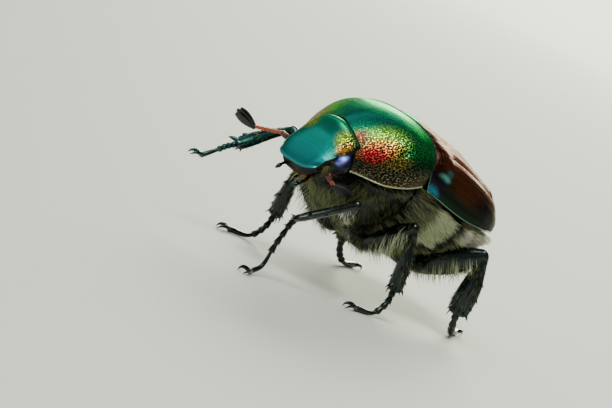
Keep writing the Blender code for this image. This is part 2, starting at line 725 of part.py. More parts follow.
def build_leg(leg, materials):
    pair = leg.split("_")[0]
    joint = coxa(leg, "coxa_" + leg, material=materials["coxa"])
    thigh = femur(leg, "femur_" + leg, material=materials["leg"])
    combine(thigh, [coxa(leg, grow=joint_gap)], "DIFFERENCE")
    shin = tibia(leg, "tibia_" + leg, material=materials["leg"])
    combine(shin, tibia_spines(leg), "UNION")
    combine(shin, [femur(leg, grow=joint_gap)], "DIFFERENCE")
    toes = foot(leg, "tarsus_" + leg, materials["foot"])
    return joint, thigh, shin, toes


def build():
    green = finish("green wing-shield cuticle", (0.02, 0.2, 0.13), 0.3, 0.9)
    copper = finish("copper wing-case cuticle", (0.3, 0.12, 0.05), 0.32, 0.9)
    under = finish("bronze-black under-plates", (0.03, 0.05, 0.035), 0.4, 0.8)
    black_green = finish("black-green leg cuticle", (0.012, 0.04, 0.032), 0.3, 0.8)
    eye_glass = finish("dark eye lens", (0.02, 0.02, 0.05), 0.12, 0.0)
    horn = finish("orange-brown feeler cuticle", (0.4, 0.12, 0.03), 0.4, 0.0)

    head(green)
    eye(left, "eye_left", eye_glass)
    eye(right, "eye_right", eye_glass)
    mouthparts(black_green)
    antenna(left, "antenna_left", horn)
    antenna(right, "antenna_right", horn)
    pronotum(green)
    scutellum(green)
    wing_case(left, "wing_case_left", copper)
    wing_case(right, "wing_case_right", copper)
    trunk = {"front": prothorax(under), "mid": thorax(under), "hind": abdomen(under)}
    pygidium(green)
    leg_finishes = {"coxa": under, "leg": black_green, "foot": black_green}
    for leg in legs:
        build_leg(leg, leg_finishes)
        pair = leg.split("_")[0]
        combine(trunk[pair], [coxa(leg, grow=joint_gap), femur(leg, grow=joint_gap)], "DIFFERENCE")
        if pair == "hind":
            combine(trunk["mid"], [coxa(leg, grow=joint_gap)], "DIFFERENCE")

    bpy.context.view_layer.update()
    solids = [obj for obj in beetle.objects if obj.type == "MESH"]
    corners = [obj.matrix_world @ Vector(c) for obj in solids for c in obj.bound_box]
    for axis in (0, 1):
        values = [c[axis] for c in corners]
        floor_point.location[axis] = -(min(values) + max(values)) / 2


for old in list(bpy.data.objects):
    bpy.data.objects.remove(old)
beetle = bpy.data.collections.new("Japanese beetle")
bpy.context.scene.collection.children.link(beetle)
floor_point = bpy.data.objects.new("floor_point", None)
beetle.objects.link(floor_point)
body_point = bpy.data.objects.new("body_point", None)
beetle.objects.link(body_point)
body_point.parent = floor_point
body_point.location = (0, 0, stance_height * to_metres)
body_point.rotation_euler = (-head_up, 0, 0)
build()
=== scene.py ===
# A Japanese beetle at life size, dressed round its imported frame.
# Body axes: x to its left, y to its rear, z up, in millimetres. The frame is in metres.
import math

import bmesh
import bpy
import numpy as np
from mathutils import Matrix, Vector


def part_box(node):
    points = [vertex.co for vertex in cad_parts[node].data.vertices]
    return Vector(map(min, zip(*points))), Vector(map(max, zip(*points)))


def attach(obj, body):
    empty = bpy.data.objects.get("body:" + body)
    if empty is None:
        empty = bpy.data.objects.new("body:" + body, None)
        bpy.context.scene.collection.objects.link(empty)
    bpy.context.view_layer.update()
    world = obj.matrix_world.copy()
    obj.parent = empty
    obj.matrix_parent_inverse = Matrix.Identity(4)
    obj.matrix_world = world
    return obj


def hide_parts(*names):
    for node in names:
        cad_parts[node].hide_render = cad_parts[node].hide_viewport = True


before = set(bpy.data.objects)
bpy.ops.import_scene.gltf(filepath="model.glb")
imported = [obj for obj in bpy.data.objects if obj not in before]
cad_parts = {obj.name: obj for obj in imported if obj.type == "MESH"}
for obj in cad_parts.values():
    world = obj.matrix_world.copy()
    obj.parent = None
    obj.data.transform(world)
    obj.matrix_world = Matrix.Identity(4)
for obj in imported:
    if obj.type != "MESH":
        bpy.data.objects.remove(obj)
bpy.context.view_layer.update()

mm = 0.001
left, right = 1, -1
stance = {"height": 4.6, "headUp": math.radians(2.0)}
hindCoxa = (1.2, 1.72, -2.42)  # the middle of a solid that marks the body's place in the frame
oblique = (0.31, 0.83, 0.46)  # a direction that no bristle or limb follows


# Curves and frames

def unit(v):
    v = np.asarray(v, float)
    return v / np.maximum(np.linalg.norm(v, axis=-1, keepdims=True), 1e-9)


def smooth(stations, values, at):
    stations, values = np.asarray(stations, float), np.asarray(values, float)
    slopes = np.gradient(values, stations)
    at = np.clip(np.asarray(at, float), stations[0], stations[-1])
    i = np.clip(np.searchsorted(stations, at) - 1, 0, len(stations) - 2)
    span = stations[i + 1] - stations[i]
    t = (at - stations[i]) / span
    start = (1 + 2 * t) * (1 - t) ** 2 * values[i] + t * (1 - t) ** 2 * span * slopes[i]
    end = t * t * (3 - 2 * t) * values[i + 1] - t * t * (1 - t) * span * slopes[i + 1]
    return start + end


def evenly(values, count):
    return smooth(np.linspace(0, 1, len(values)), values, np.linspace(0, 1, count))


def ease(low, high, value):
    t = np.clip((np.asarray(value, float) - low) / (high - low), 0, 1)
    return t * t * (3 - 2 * t)


def bump(x, y, centre, spread):
    return np.exp(-(((x - centre[0]) / spread[0]) ** 2) - ((y - centre[1]) / spread[1]) ** 2)


def rounded(value, power):
    return np.sign(value) * np.abs(value) ** (2.0 / power)


def crease(away, width, depth):
    return depth * np.exp(-(away / width) ** 2)


def circle(count):
    return np.linspace(0, 2 * math.pi, count, endpoint=False)


def onBall(angles, heights):
    return stacked(np.cos(heights) * np.cos(angles), np.cos(heights) * np.sin(angles), np.sin(heights))


def paired(first, second):
    return np.broadcast_arrays(np.asarray(first, float), np.asarray(second, float))


def stacked(*values):
    return np.stack(np.broadcast_arrays(*values), axis=-1)


backPower, keelPower = 2.3, 1.65  # how square a section of the body is above and below, where 2 is round


def section(halfWidth, top, middle, low, angle, topPower=backPower):
    cosine, sine = np.cos(angle), np.sin(angle)
    power = np.where(sine >= 0, topPower, keelPower)
    rise = np.where(sine >= 0, top - middle, middle - low)
    return halfWidth * rounded(cosine, power), middle + rise * rounded(sine, power)


def curvePoints(points, count):
    points = np.asarray(points, float)
    steps = np.linalg.norm(np.diff(points, axis=0), axis=1)
    stations = np.concatenate([[0], np.cumsum(steps)])
    at = np.linspace(0, stations[-1], count)
    return np.stack([smooth(stations, points[:, k], at) for k in range(3)], axis=1)


# From body axes to the frame: the hind coxa gives the place, the stance gives the tilt
tipUp = stance["headUp"]
bodyTurn = np.array(((1, 0, 0), (0, math.cos(tipUp), math.sin(tipUp)),
                     (0, -math.sin(tipUp), math.cos(tipUp))))
coxaLow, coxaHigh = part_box("coxa_hind_left")
frameShift = (np.array(coxaLow) + np.array(coxaHigh)) / 2 - bodyTurn @ np.array(hindCoxa) * mm


def toWorld(points):
    return np.asarray(points, float) @ bodyTurn.T * mm + frameShift


def fromFloor(points):
    return (np.asarray(points, float) - (0, 0, stance["height"])) @ bodyTurn


# Shapes are (points, faces, lay), where lay says how each point lies along and across its piece

def wrapFaces(rows, columns, start=0, closed=True):
    faces = []
    last = columns if closed else columns - 1
    for i in range(rows - 1):
        for j in range(last):
            k = (j + 1) % columns
            low, high = start + i * columns, start + (i + 1) * columns
            faces.append((low + j, low + k, high + k, high + j))
    return faces


def closedForm(grid, lay, poles=None):
    rows, columns = grid.shape[:2]
    firstPole, lastPole = poles if poles is not None else (grid[0].mean(axis=0), grid[-1].mean(axis=0))
    points = np.vstack([grid.reshape(-1, 3), firstPole, lastPole])
    lays = np.vstack([lay.reshape(-1, 3), lay[0].mean(axis=0), lay[-1].mean(axis=0)])
    faces = wrapFaces(rows, columns)
    count = rows * columns
    for j in range(columns):
        k = (j + 1) % columns
        faces.append((count, k, j))
        faces.append((count + 1, count - columns + j, count - columns + k))
    return points, faces, lays


def gridNormals(grid, inside):
    normals = unit(np.cross(np.gradient(grid, axis=0), np.gradient(grid, axis=1)))
    return normals if np.sum(normals * (grid - inside)) > 0 else -normals


def shell(grid, thickness, inside, lay):
    rows, columns = grid.shape[:2]
    inner = grid - gridNormals(grid, inside) * thickness
    points = np.vstack([grid.reshape(-1, 3), inner.reshape(-1, 3)])
    count = rows * columns
    faces = wrapFaces(rows, columns, closed=False)
    faces += [tuple(v + count for v in reversed(face)) for face in wrapFaces(rows, columns, closed=False)]
    number = np.arange(count).reshape(rows, columns)
    border = [*number[0, :-1], *number[:-1, -1], *number[-1, :0:-1], *number[:0:-1, 0]]
    for a, b in zip(border, border[1:] + border[:1]):
        faces.append((int(b), int(a), int(a + count), int(b + count)))
    return points, faces, np.vstack([lay.reshape(-1, 3)] * 2)


def ringFrames(path, towards):
    tangents = unit(np.gradient(path, axis=0))
    towards = np.broadcast_to(np.asarray(towards, float), path.shape)
    first = unit(towards - np.sum(towards * tangents, axis=1, keepdims=True) * tangents)
    return tangents, first, np.cross(tangents, first)


capLength = 0.8  # how far a limb's round end stands out, per half width


def sweep(path, wide, thick, towards, around=16, capSteps=3, keel=0.0):
    # a closed limb along a path, round at its ends, with a keel on its towards side
    path = np.asarray(path, float)
    wide, thick = np.broadcast_to(wide, len(path)), np.broadcast_to(thick, len(path))
    tangents, first, second = ringFrames(path, towards)
    rings, lays = [], []
    angles = circle(around)
    lengths = np.concatenate([[0], np.cumsum(np.linalg.norm(np.diff(path, axis=0), axis=1))])

    def addRing(i, size, offset):
        w = wide[i] * size * (1 + keel * np.clip(np.cos(angles), 0, 1) ** 8)
        ring = path[i] + offset + np.outer(np.cos(angles) * w, first[i])
        rings.append(ring + np.outer(np.sin(angles) * thick[i] * size, second[i]))
        lays.append(stacked(lengths[i], np.cos(angles), np.sin(angles)))

    turns = np.linspace(math.pi / 2, 0, capSteps + 1)[1:-1]
    ends = [capLength * min(wide[i], thick[i]) for i in (0, -1)]
    for turn in turns:
        addRing(0, math.cos(turn), -tangents[0] * ends[0] * math.sin(turn))
    for i in range(len(path)):
        addRing(i, 1.0, 0.0)
    for turn in reversed(turns):
        addRing(len(path) - 1, math.cos(turn), tangents[-1] * ends[1] * math.sin(turn))
    poles = (path[0] - tangents[0] * ends[0], path[-1] + tangents[-1] * ends[1])
    return closedForm(np.array(rings), np.array(lays), poles)


def loopTube(path, radii, around=10):
    # a tube along a closed line
    tangents = unit(np.roll(path, -1, axis=0) - np.roll(path, 1, axis=0))
    first = unit(np.cross(tangents, (0.13, 0.21, 0.97)))
    second = np.cross(tangents, first)
    angles = circle(around)
    ring = np.cos(angles)[:, None] * first[:, None] + np.sin(angles)[:, None] * second[:, None]
    grid = path[:, None] + radii[:, None, None] * ring
    faces = wrapFaces(len(path), around)
    last = (len(path) - 1) * around
    for j in range(around):
        k = (j + 1) % around
        faces.append((last + j, last + k, k, j))
    points = grid.reshape(-1, 3)
    return points, faces, np.zeros_like(points)


spikeForm = {"stations": (-0.15, 0.15, 0.5, 0.8, 0.97), "sizes": (1.0, 0.95, 0.7, 0.36, 0.08)}


def spike(root, direction, length, radius, bend=(0, 0, 0), around=6):
    root, direction, bend = np.asarray(root, float), unit(direction), np.asarray(bend, float)
    shares = np.array(spikeForm["stations"])
    path = root + np.outer(shares * length, direction) + np.outer(np.clip(shares, 0, 1) ** 2 * length, bend)
    size = radius * np.array(spikeForm["sizes"])
    return sweep(path, size, size, np.cross(direction, oblique), around, capSteps=1)


def ballShape(centre, radii, around, rings, turn=((1, 0, 0), (0, 1, 0), (0, 0, 1))):
    heights = np.linspace(-math.pi / 2, math.pi / 2, rings + 2)[1:-1, None]
    lay = onBall(circle(around), heights)
    poles = np.array(((0, 0, -1.0), (0, 0, 1.0)))
    turn = np.asarray(turn, float).T
    return closedForm(lay * radii @ turn + centre, lay, poles * radii @ turn + centre)


def joined(shapes):
    points, faces, lays, start = [], [], [], 0
    for shapePoints, shapeFaces, shapeLay in shapes:
        points.append(shapePoints)
        lays.append(shapeLay)
        faces += [tuple(v + start for v in face) for face in shapeFaces]
        start += len(shapePoints)
    return np.vstack(points), faces, np.vstack(lays)


def mirrored(shape):
    points, faces, lay = shape
    return points * (-1, 1, 1), [tuple(reversed(face)) for face in faces], lay


def makePiece(name, shape, material, nodes=(), sharp=40, mendNormals=True, bakeSpots=None,
              skin=None):
    # nodes are the solids that the piece replaces, skin holds the places that fine pits are laid out by
    points, faces, lay = shape
    mesh = bpy.data.meshes.new(name)
    mesh.from_pydata(toWorld(points).tolist(), [], faces)
    if mendNormals:
        bm = bmesh.new()
        bm.from_mesh(mesh)
        bmesh.ops.recalc_face_normals(bm, faces=bm.faces)
        bm.to_mesh(mesh)
        bm.free()
    for key, values in (("place", points), ("lay", lay), ("skin", points if skin is None else skin)):
        attribute = mesh.attributes.new(key, "FLOAT_VECTOR", "POINT")  # what the finishes read
        attribute.data.foreach_set("vector", np.ascontiguousarray(values, np.float32).ravel())
    mesh.shade_smooth()
    if sharp:
        mesh.set_sharp_from_angle(angle=math.radians(sharp))
    if bakeSpots is not None:
        corners = np.zeros(len(mesh.loops), np.int32)
        mesh.loops.foreach_get("vertex_index", corners)
        layer = mesh.uv_layers.new(name="OFBake")
        layer.data.foreach_set("uv", bakeSpots[corners].astype(np.float32).ravel())
    mesh.materials.append(material)
    piece = bpy.data.objects.new(name, mesh)
    bpy.context.scene.collection.objects.link(piece)
    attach(piece, "root")
    if nodes:
        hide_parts(*nodes)


# Hair, as tapered three-sided bristles

bristle = {"stations": (-0.08, 0.3, 0.7), "sizes": (1.0, 0.8, 0.45), "spotRadius": 0.0015}


def bristles(roots, away, bend, lengths, radii, spots):
    # away is where a bristle leaves the skin, bend is how far its tip is drawn aside, per length
    count, stations = len(roots), bristle["stations"]
    each = 3 * len(stations) + 1
    lengths, radii = lengths[:, None], radii[:, None]
    away = unit(away)
    side = unit(np.cross(away, oblique))
    other = np.cross(away, side)
    points, marks = [], []
    for at, size in zip(stations, bristle["sizes"]):
        middle = roots + away * lengths * at + bend * lengths * max(at, 0) ** 2
        for turn in circle(3):
            points.append(middle + (side * math.cos(turn) + other * math.sin(turn)) * radii * size)
            marks.append(spots + bristle["spotRadius"] * size * np.array((math.cos(turn), math.sin(turn))))
    points.append(roots + away * lengths + bend * lengths)
    marks.append(spots)
    points, marks = np.stack(points, axis=1).reshape(-1, 3), np.stack(marks, axis=1).reshape(-1, 2)
    ends = [(2, 1, 0)] + [(6 + j, 6 + (j + 1) % 3, 9) for j in range(3)]
    starts = (np.arange(count) * each)[:, None, None]
    faces = (starts + np.array(wrapFaces(len(stations), 3))).reshape(-1, 4).tolist()
    faces += (starts + np.array(ends)).reshape(-1, 3).tolist()
    shares = np.array([max(at, 0) for at in stations for k in range(3)] + [1.0])
    tone = np.random.default_rng(count).uniform(0, 1, count)
    lay = np.stack([np.tile(shares, count), np.repeat(tone, each), np.zeros(count * each)], axis=1)
    return points, faces, lay, marks


def coat(name, batches, material):
    # joins batches of bristles in one piece
    makePiece(name, joined([batch[:3] for batch in batches]), material, sharp=None,
              mendNormals=False, bakeSpots=np.vstack([batch[3] for batch in batches]))


def inTile(tile, spans):
    return np.array(tile[:2]) + np.stack(spans, axis=1) * (tile[2] - tile[0], tile[3] - tile[1])


def sown(place, firsts, seconds, inside, tile, side=left):
    # roots, normals and bake spots at scattered places of a surface, on either side of the body
    step = 0.004
    roots = place(firsts, seconds)
    normals = unit(np.cross(place(firsts + step, seconds) - roots, place(firsts, seconds + step) - roots))
    normals = normals * np.sign(np.sum(normals * (roots - inside), axis=1, keepdims=True))
    spans = [(values - values.min()) / max(np.ptp(values), 1e-6) for values in (firsts, seconds)]
    return roots * (side, 1, 1), normals * (side, 1, 1), inTile(tile, spans)


# Finishes

def hexColour(code):
    shares = [int(code[i:i + 2], 16) / 255 for i in (1, 3, 5)]
    return (*[s / 12.92 if s <= 0.04045 else ((s + 0.055) / 1.055) ** 2.4 for s in shares], 1.0)


def addNode(tree, kind, inputs=None, out=0, stops=None, **settings):
    made = tree.nodes.new(kind)
    for key, value in settings.items():
        setattr(made, key, value)
    for key, value in (inputs or {}).items():
        if isinstance(value, bpy.types.NodeSocket):
            tree.links.new(value, made.inputs[key])
        else:
            made.inputs[key].default_value = hexColour(value) if isinstance(value, str) else value
    for i, (at, code) in enumerate(stops or ()):
        ramp = made.color_ramp.elements
        stop = ramp[i] if i < 2 else ramp.new(at)
        stop.position, stop.color = at, hexColour(code)
    return made.outputs[out]


def newFinish(name, code="#808080", **settings):
    material = bpy.data.materials.new(name)
    material.use_nodes = True
    shader = material.node_tree.nodes["Principled BSDF"]
    for key, value in {"Base_Color": code, **settings}.items():
        plug = shader.inputs[key.replace("_", " ")]
        plug.default_value = hexColour(value) if isinstance(value, str) else value
    return material, material.node_tree, shader


def maths(tree, operation, *values):
    return addNode(tree, "ShaderNodeMath", dict(enumerate(values)), operation=operation)


def vectors(tree, operation, *values, out=0):
    return addNode(tree, "ShaderNodeVectorMath", dict(enumerate(values)), out=out, operation=operation)


def mixed(tree, share, under, over):
    return addNode(tree, "ShaderNodeMix", {0: share, 6: under, 7: over}, out=2, data_type="RGBA")


def ranged(tree, value, low, high, kind="LINEAR"):
    return addNode(tree, "ShaderNodeMapRange", {"Value": value, "From Min": low, "From Max": high},
                   interpolation_type=kind)


def ramped(tree, share, stops):
    return addNode(tree, "ShaderNodeValToRGB", {"Fac": share}, stops=stops)


def reading(tree, name):
    return addNode(tree, "ShaderNodeAttribute", out="Vector", attribute_name=name)


def splitUp(tree, vector):
    return addNode(tree, "ShaderNodeSeparateXYZ", {"Vector": vector}).node.outputs


def surface(tree, shader, colour, height, depth, strength):
    # gives the shader its colour and its relief, whose depth is in mm
    normal = addNode(tree, "ShaderNodeBump", {"Height": height, "Distance": depth * mm, "Strength": strength})
    tree.links.new(colour, shader.inputs["Base Color"])
    tree.links.new(normal, shader.inputs["Normal"])


spotFade = (1.15, 0.2)  # where a spot ends and where it is full, per reach
pitForm = {"wall": 0.1, "widening": 0.13, "scatter": 0.8}


def spotNear(tree, place, centre, reach):
    # 1 at a centre, falling to 0 at its reach
    away = vectors(tree, "SUBTRACT", place, (*centre, 0.0))
    away = vectors(tree, "MULTIPLY", away, (1 / reach[0], 1 / reach[1], 0.0))
    return ranged(tree, vectors(tree, "LENGTH", away, out="Value"), *spotFade, "SMOOTHSTEP")


def spotted(tree, place, colour, spots):
    for centre, reach, code in spots:
        colour = mixed(tree, spotNear(tree, place, centre, reach), colour, code)
    return colour


def pitWalls(tree, far, size):
    return ranged(tree, far, size + pitForm["wall"], size - pitForm["wall"], "SMOOTHSTEP")


def pitted(tree, place, spacing, size, dimensions="2D", widen=None):
    # 1 in the pits and 0 on the net of cuticle between them; widen is a mask where the pits are wider
    cells = addNode(tree, "ShaderNodeTexVoronoi",
                    {"Vector": place, "Scale": 1 / spacing, "Randomness": pitForm["scatter"]},
                    out="Distance", voronoi_dimensions=dimensions)
    if widen is not None:
        cells = maths(tree, "MULTIPLY_ADD", widen, -pitForm["widening"], cells)
    return pitWalls(tree, cells, size)


greenCuticle = {  # layered chitin: shines like green metal under a clear skin, with fine pits in it
    # the pits are painted near-black as shade inside them
    "pitSpacing": 0.062, "pitSize": 0.48, "pitDepth": 0.012, "pitShadeColour": "#030806", "leastPits": 0.07,
    "edgeTint": "#8fd0a0",
}
# the gold, crimson and yellow-green patches on the pronotum and head are painted reflections of the light above,
# laid over the cuticle's own green and teal; the pronotum's low side is painted dark as shade, with pale painted
# glints on its ridges
shieldZones = {  # how each shield's colour turns over it: ramp across, then (centre, reach, colour)
    "pronotum": {
        "ramp": ((0.0, "#04766a"), (0.2, "#078272"), (0.36, "#15995f"), (0.6, "#2f9a4a"), (0.76, "#125a38"),
                 (0.92, "#0a1f16")),
        "spots": (((0.46, 0.36), (0.2, 0.34), "#98da4a"), ((0.57, 0.27), (0.15, 0.27), "#fa9638"),
                  ((0.65, 0.19), (0.14, 0.24), "#ff3c46"),
                  ((0.73, 0.46), (0.1, 0.22), "#a8963c"), ((0.95, 0.4), (0.2, 0.8), "#b8a884"),
                  ((0.43, 0.06), (0.14, 0.16), "#86503a")),
        "stipple": ((0.72, 0.38), (0.8, 1.4)), "widePits": ((1.0, 0.5), (0.3, 1.2)), "span": 1.0,
        "roughness": 0.3,
    },
    "head": {
        "ramp": ((0.0, "#047a62"), (0.4, "#058272"), (0.75, "#088078"), (1.0, "#167a78")),
        "spots": (((0.4, 0.66), (0.5, 0.36), "#b4d63a"), ((0.62, 0.86), (0.46, 0.26), "#eeae3e"),
                  ((0.0, 0.35), (0.3, 0.3), "#15a070")),
        "stipple": ((0.4, 0.85), (1.0, 0.68)), "widePits": ((0.3, 1.1), (0.5, 0.2)), "span": 2.3,
        "roughness": 0.37,
    },
    "scutellum": {
        "ramp": ((0.0, "#14604a"), (0.5, "#1d7350"), (1.0, "#123c2c")), "spots": (),
        "stipple": ((0.7, 0.5), (0.9, 0.9)), "widePits": ((1.0, 0.5), (0.2, 0.5)), "span": 1.0,
        "roughness": 0.3,
    },
}


def shieldFinish(zoneName):
    zones, g = shieldZones[zoneName], greenCuticle
    material, tree, shader = newFinish("green layered cuticle, " + zoneName, Metallic=0.92,
                                       Roughness=zones["roughness"], Coat_Weight=0.04, Coat_Roughness=0.1,
                                       Specular_Tint=g["edgeTint"])
    lay = reading(tree, "lay")
    share = maths(tree, "MULTIPLY", splitUp(tree, lay)[0], 1 / zones["span"])
    colour = spotted(tree, lay, ramped(tree, share, zones["ramp"]), zones["spots"])
    pits = pitted(tree, reading(tree, "skin"), g["pitSpacing"], g["pitSize"],
                  widen=spotNear(tree, lay, *zones["widePits"]))
    deep = maths(tree, "MAXIMUM", spotNear(tree, lay, *zones["stipple"]), g["leastPits"])
    pits = maths(tree, "MULTIPLY", pits, deep)
    # the pits are painted in the near-black shade colour
    surface(tree, shader, mixed(tree, pits, colour, g["pitShadeColour"]), maths(tree, "MULTIPLY", pits, -1.0),
            g["pitDepth"], 1.0)
    return material


copperCuticle = {  # layered chitin over brown: a rosy metal sheen broken by rows of pits
    "edgeTint": "#9a8a78", "rows": 10.0, "rowPitch": 0.13, "pitWidth": 0.26, "pitDepth": 0.012,
    "pitShadeColour": "#1c100a", "wrinkle": 0.16, "wrinkleShade": 0.35, "shade": 0.3,
    # across the case: green at the seam, copper over the top, painted near-black as shade where the side turns
    # down, then the green edge
    "ramp": ((0.0, "#173a2a"), (0.05, "#5a3326"), (0.45, "#7a4a30"), (0.62, "#6e3e1c"), (0.74, "#22200e"),
             (0.84, "#051c10"), (1.0, "#07301f")),
    # the orange patch is a painted reflection, the dark band at the base is painted shadow under the pronotum's
    # rear edge, the teal, violet and blue patches at the shoulder are painted glints, and the dark tail is
    # painted shade
    "spots": (((0.7, 0.36), (0.2, 0.3), "#6a3a10"), ((0.5, 0.0), (0.5, 0.1), "#2a0c08"),
              ((0.77, 0.1), (0.06, 0.07), "#7ad8d0"), ((0.7, 0.14), (0.05, 0.05), "#3a9a90"),
              ((0.86, 0.06), (0.1, 0.1), "#14122a"), ((0.97, 0.03), (0.08, 0.07), "#2a7a9a"),
              ((0.6, 1.0), (0.7, 0.24), "#241a2c")),
}


def copperFinish():
    c = copperCuticle
    material, tree, shader = newFinish("copper layered cuticle", Metallic=0.9, Roughness=0.32,
                                       Coat_Weight=0.1, Coat_Roughness=0.16, Specular_Tint=c["edgeTint"])
    lay = reading(tree, "lay")
    parts = splitUp(tree, lay)
    colour = spotted(tree, lay, ramped(tree, parts[0], c["ramp"]), c["spots"])
    rows = maths(tree, "MULTIPLY", parts[0], c["rows"])
    steps = maths(tree, "MULTIPLY", parts[2], 1 / c["rowPitch"])
    pitPlace = addNode(tree, "ShaderNodeCombineXYZ", {"X": rows, "Y": steps})
    pitPlace = vectors(tree, "FRACTION", vectors(tree, "ADD", pitPlace, (0.5, 0.5, 0.0)))
    pitPlace = vectors(tree, "SUBTRACT", pitPlace, (0.5, 0.5, 0.0))
    pits = pitWalls(tree, vectors(tree, "LENGTH", pitPlace, out="Value"), c["pitWidth"])
    wrinkles = addNode(tree, "ShaderNodeTexNoise",
                       {"Vector": reading(tree, "place"), "Scale": 1 / c["wrinkle"], "Detail": 3.0})
    dull = maths(tree, "MULTIPLY", ranged(tree, wrinkles, 0.42, 0.58), c["wrinkleShade"])
    # the pits, and the wrinkles in them, are painted darker as shade, over an even darkening of the whole case
    shade = maths(tree, "MULTIPLY_ADD", pits, dull, c["shade"])
    surface(tree, shader, mixed(tree, shade, colour, c["pitShadeColour"]), maths(tree, "SUBTRACT", wrinkles, pits),
            c["pitDepth"], 0.8)
    return material


def grainyFinish(name, code, darker, spacing, depth, **settings):
    # cuticle with scattered pits and a colour that wanders a little
    material, tree, shader = newFinish(name, **settings)
    place = reading(tree, "place")
    pits = pitted(tree, place, spacing, 0.34, "3D")
    drift = addNode(tree, "ShaderNodeTexNoise", {"Vector": place, "Scale": 1.7, "Detail": 2.0})
    colour = mixed(tree, ranged(tree, drift, 0.4, 0.62), code, darker)
    surface(tree, shader, colour, maths(tree, "MULTIPLY", pits, -1.0), depth, 0.8)
    return material


def hairFinish(name, rootShadeCode, tipCode, tipDarker):
    # setae: pale at their tips and painted darker towards the root as shade near the skin, with a tip tone that
    # varies at random
    material, tree, shader = newFinish(name, Roughness=0.42, IOR=1.55)
    parts = splitUp(tree, reading(tree, "lay"))
    tip = mixed(tree, parts[1], tipCode, tipDarker)
    colour = mixed(tree, ranged(tree, parts[0], -0.05, 0.55), rootShadeCode, tip)
    tree.links.new(colour, shader.inputs["Base Color"])
    return material


# the lenses' colour is painted: black below as shade and a violet-blue band above as a highlight
eyeLens = {  # clear chitin lenses about as fine as the real ones, black below and violet-blue above
    "facet": 0.022, "scatter": 0.3, "depth": 0.004,
    "ramp": ((0.0, "#04040a"), (0.4, "#05061a"), (0.56, "#3a46a4"), (0.7, "#98a2ea"), (0.86, "#4a56b0"),
             (1.0, "#0e2a30")),
}


def eyeFinish():
    # a dark dome of tiny lenses, painted black below as shade, with a violet-blue band above as a painted
    # highlight
    material, tree, shader = newFinish("compound-eye lens cuticle, painted highlight and shade", Metallic=0.85, Roughness=0.34,
                                       Coat_Weight=0.5, Coat_Roughness=0.06)
    colour = ramped(tree, splitUp(tree, reading(tree, "lay"))[2], eyeLens["ramp"])
    facets = addNode(tree, "ShaderNodeTexVoronoi",
                     {"Vector": reading(tree, "place"), "Scale": 1 / eyeLens["facet"],
                      "Randomness": eyeLens["scatter"]}, out="Distance")
    surface(tree, shader, colour, maths(tree, "MULTIPLY", facets, -1.0), eyeLens["depth"], 0.35)
    return material


def plainFinish(name, code, **settings):
    return newFinish(name, code, **settings)[0]


finishes = {
    "pronotum": shieldFinish("pronotum"),
    "head": shieldFinish("head"),
    "scutellum": shieldFinish("scutellum"),
    "bead": plainFinish("polished green rim cuticle", "#4a7764", Metallic=0.9, Roughness=0.24,
                        Coat_Weight=0.4),
    # the pronotum's front and rear beads and the canthi are painted near-black and dull as shade in the seams
    "shadeBead": plainFinish("dark green rim cuticle, painted shade", "#04140f", Metallic=0.3, Roughness=0.6),
    # the pronotum's side beads are painted pale as a highlight along the rim
    "highlightBead": plainFinish("pale rim cuticle, painted highlight", "#a9a884", Metallic=0.6, Roughness=0.25, Coat_Weight=0.5),
    "copper": copperFinish(),
    # black chitin with a bronze-green cast: dark, and bright only where it shines
    "under": grainyFinish("bronze-black chitin", "#10180f", "#1c2214", 0.1, 0.01, Metallic=0.75,
                          Roughness=0.34, Coat_Weight=0.2),
    "face": grainyFinish("black face chitin", "#060908", "#0e120c", 0.08, 0.008, Metallic=0.5,
                         Roughness=0.35),
    # black-green chitin, glossier than the belly
    "leg": grainyFinish("black-green chitin", "#08201c", "#0a120e", 0.09, 0.006, Metallic=0.8, Roughness=0.22,
                        Coat_Weight=0.5, Coat_Roughness=0.08),
    # a lighter teal copy of the leg finish, a painted highlight, given only to the right front leg
    "litLegTeal": grainyFinish("teal leg chitin, painted highlight", "#0f4e4c", "#0a2c28", 0.09, 0.006, Metallic=0.85,
                            Roughness=0.24, Coat_Weight=0.5, Coat_Roughness=0.08),
    "eye": eyeFinish(),
    # amber chitin of the feelers' fine joints
    "stalk": plainFinish("amber chitin", "#b0431a", Roughness=0.32, IOR=1.56, Coat_Weight=0.3),
    # the scapes are darker than the joints, partly their own colour and partly painted shade for the left antenna
    # folded under the eye
    "scape": plainFinish("chestnut chitin", "#541c0c", Roughness=0.4, IOR=1.56, Coat_Weight=0.1),
    # black chitin under a velvet of tiny hairs: hardly shines
    "club": plainFinish("velvety black chitin", "#0b100f", Roughness=0.55, IOR=1.56),
    "amber": plainFinish("golden jaw bristle chitin", "#e89a30", Roughness=0.35, IOR=1.56),
    "spur": plainFinish("red-brown spur chitin", "#2a120a", Roughness=0.25, IOR=1.56, Coat_Weight=0.4),
    "hair": hairFinish("pale setae", "#12140a", "#b6bc80", "#3e4022"),
    "silver": hairFinish("silver setae", "#262c1c", "#f8ffda", "#aebb84"),
    "white": hairFinish("white tuft setae", "#8d8a76", "#f4f2e6", "#dcd8c4"),
    "olive": hairFinish("olive setae", "#0c1208", "#98a45a", "#2c3614"),
}
print("finishes ready")


# The hind body and the hood, as stations along y

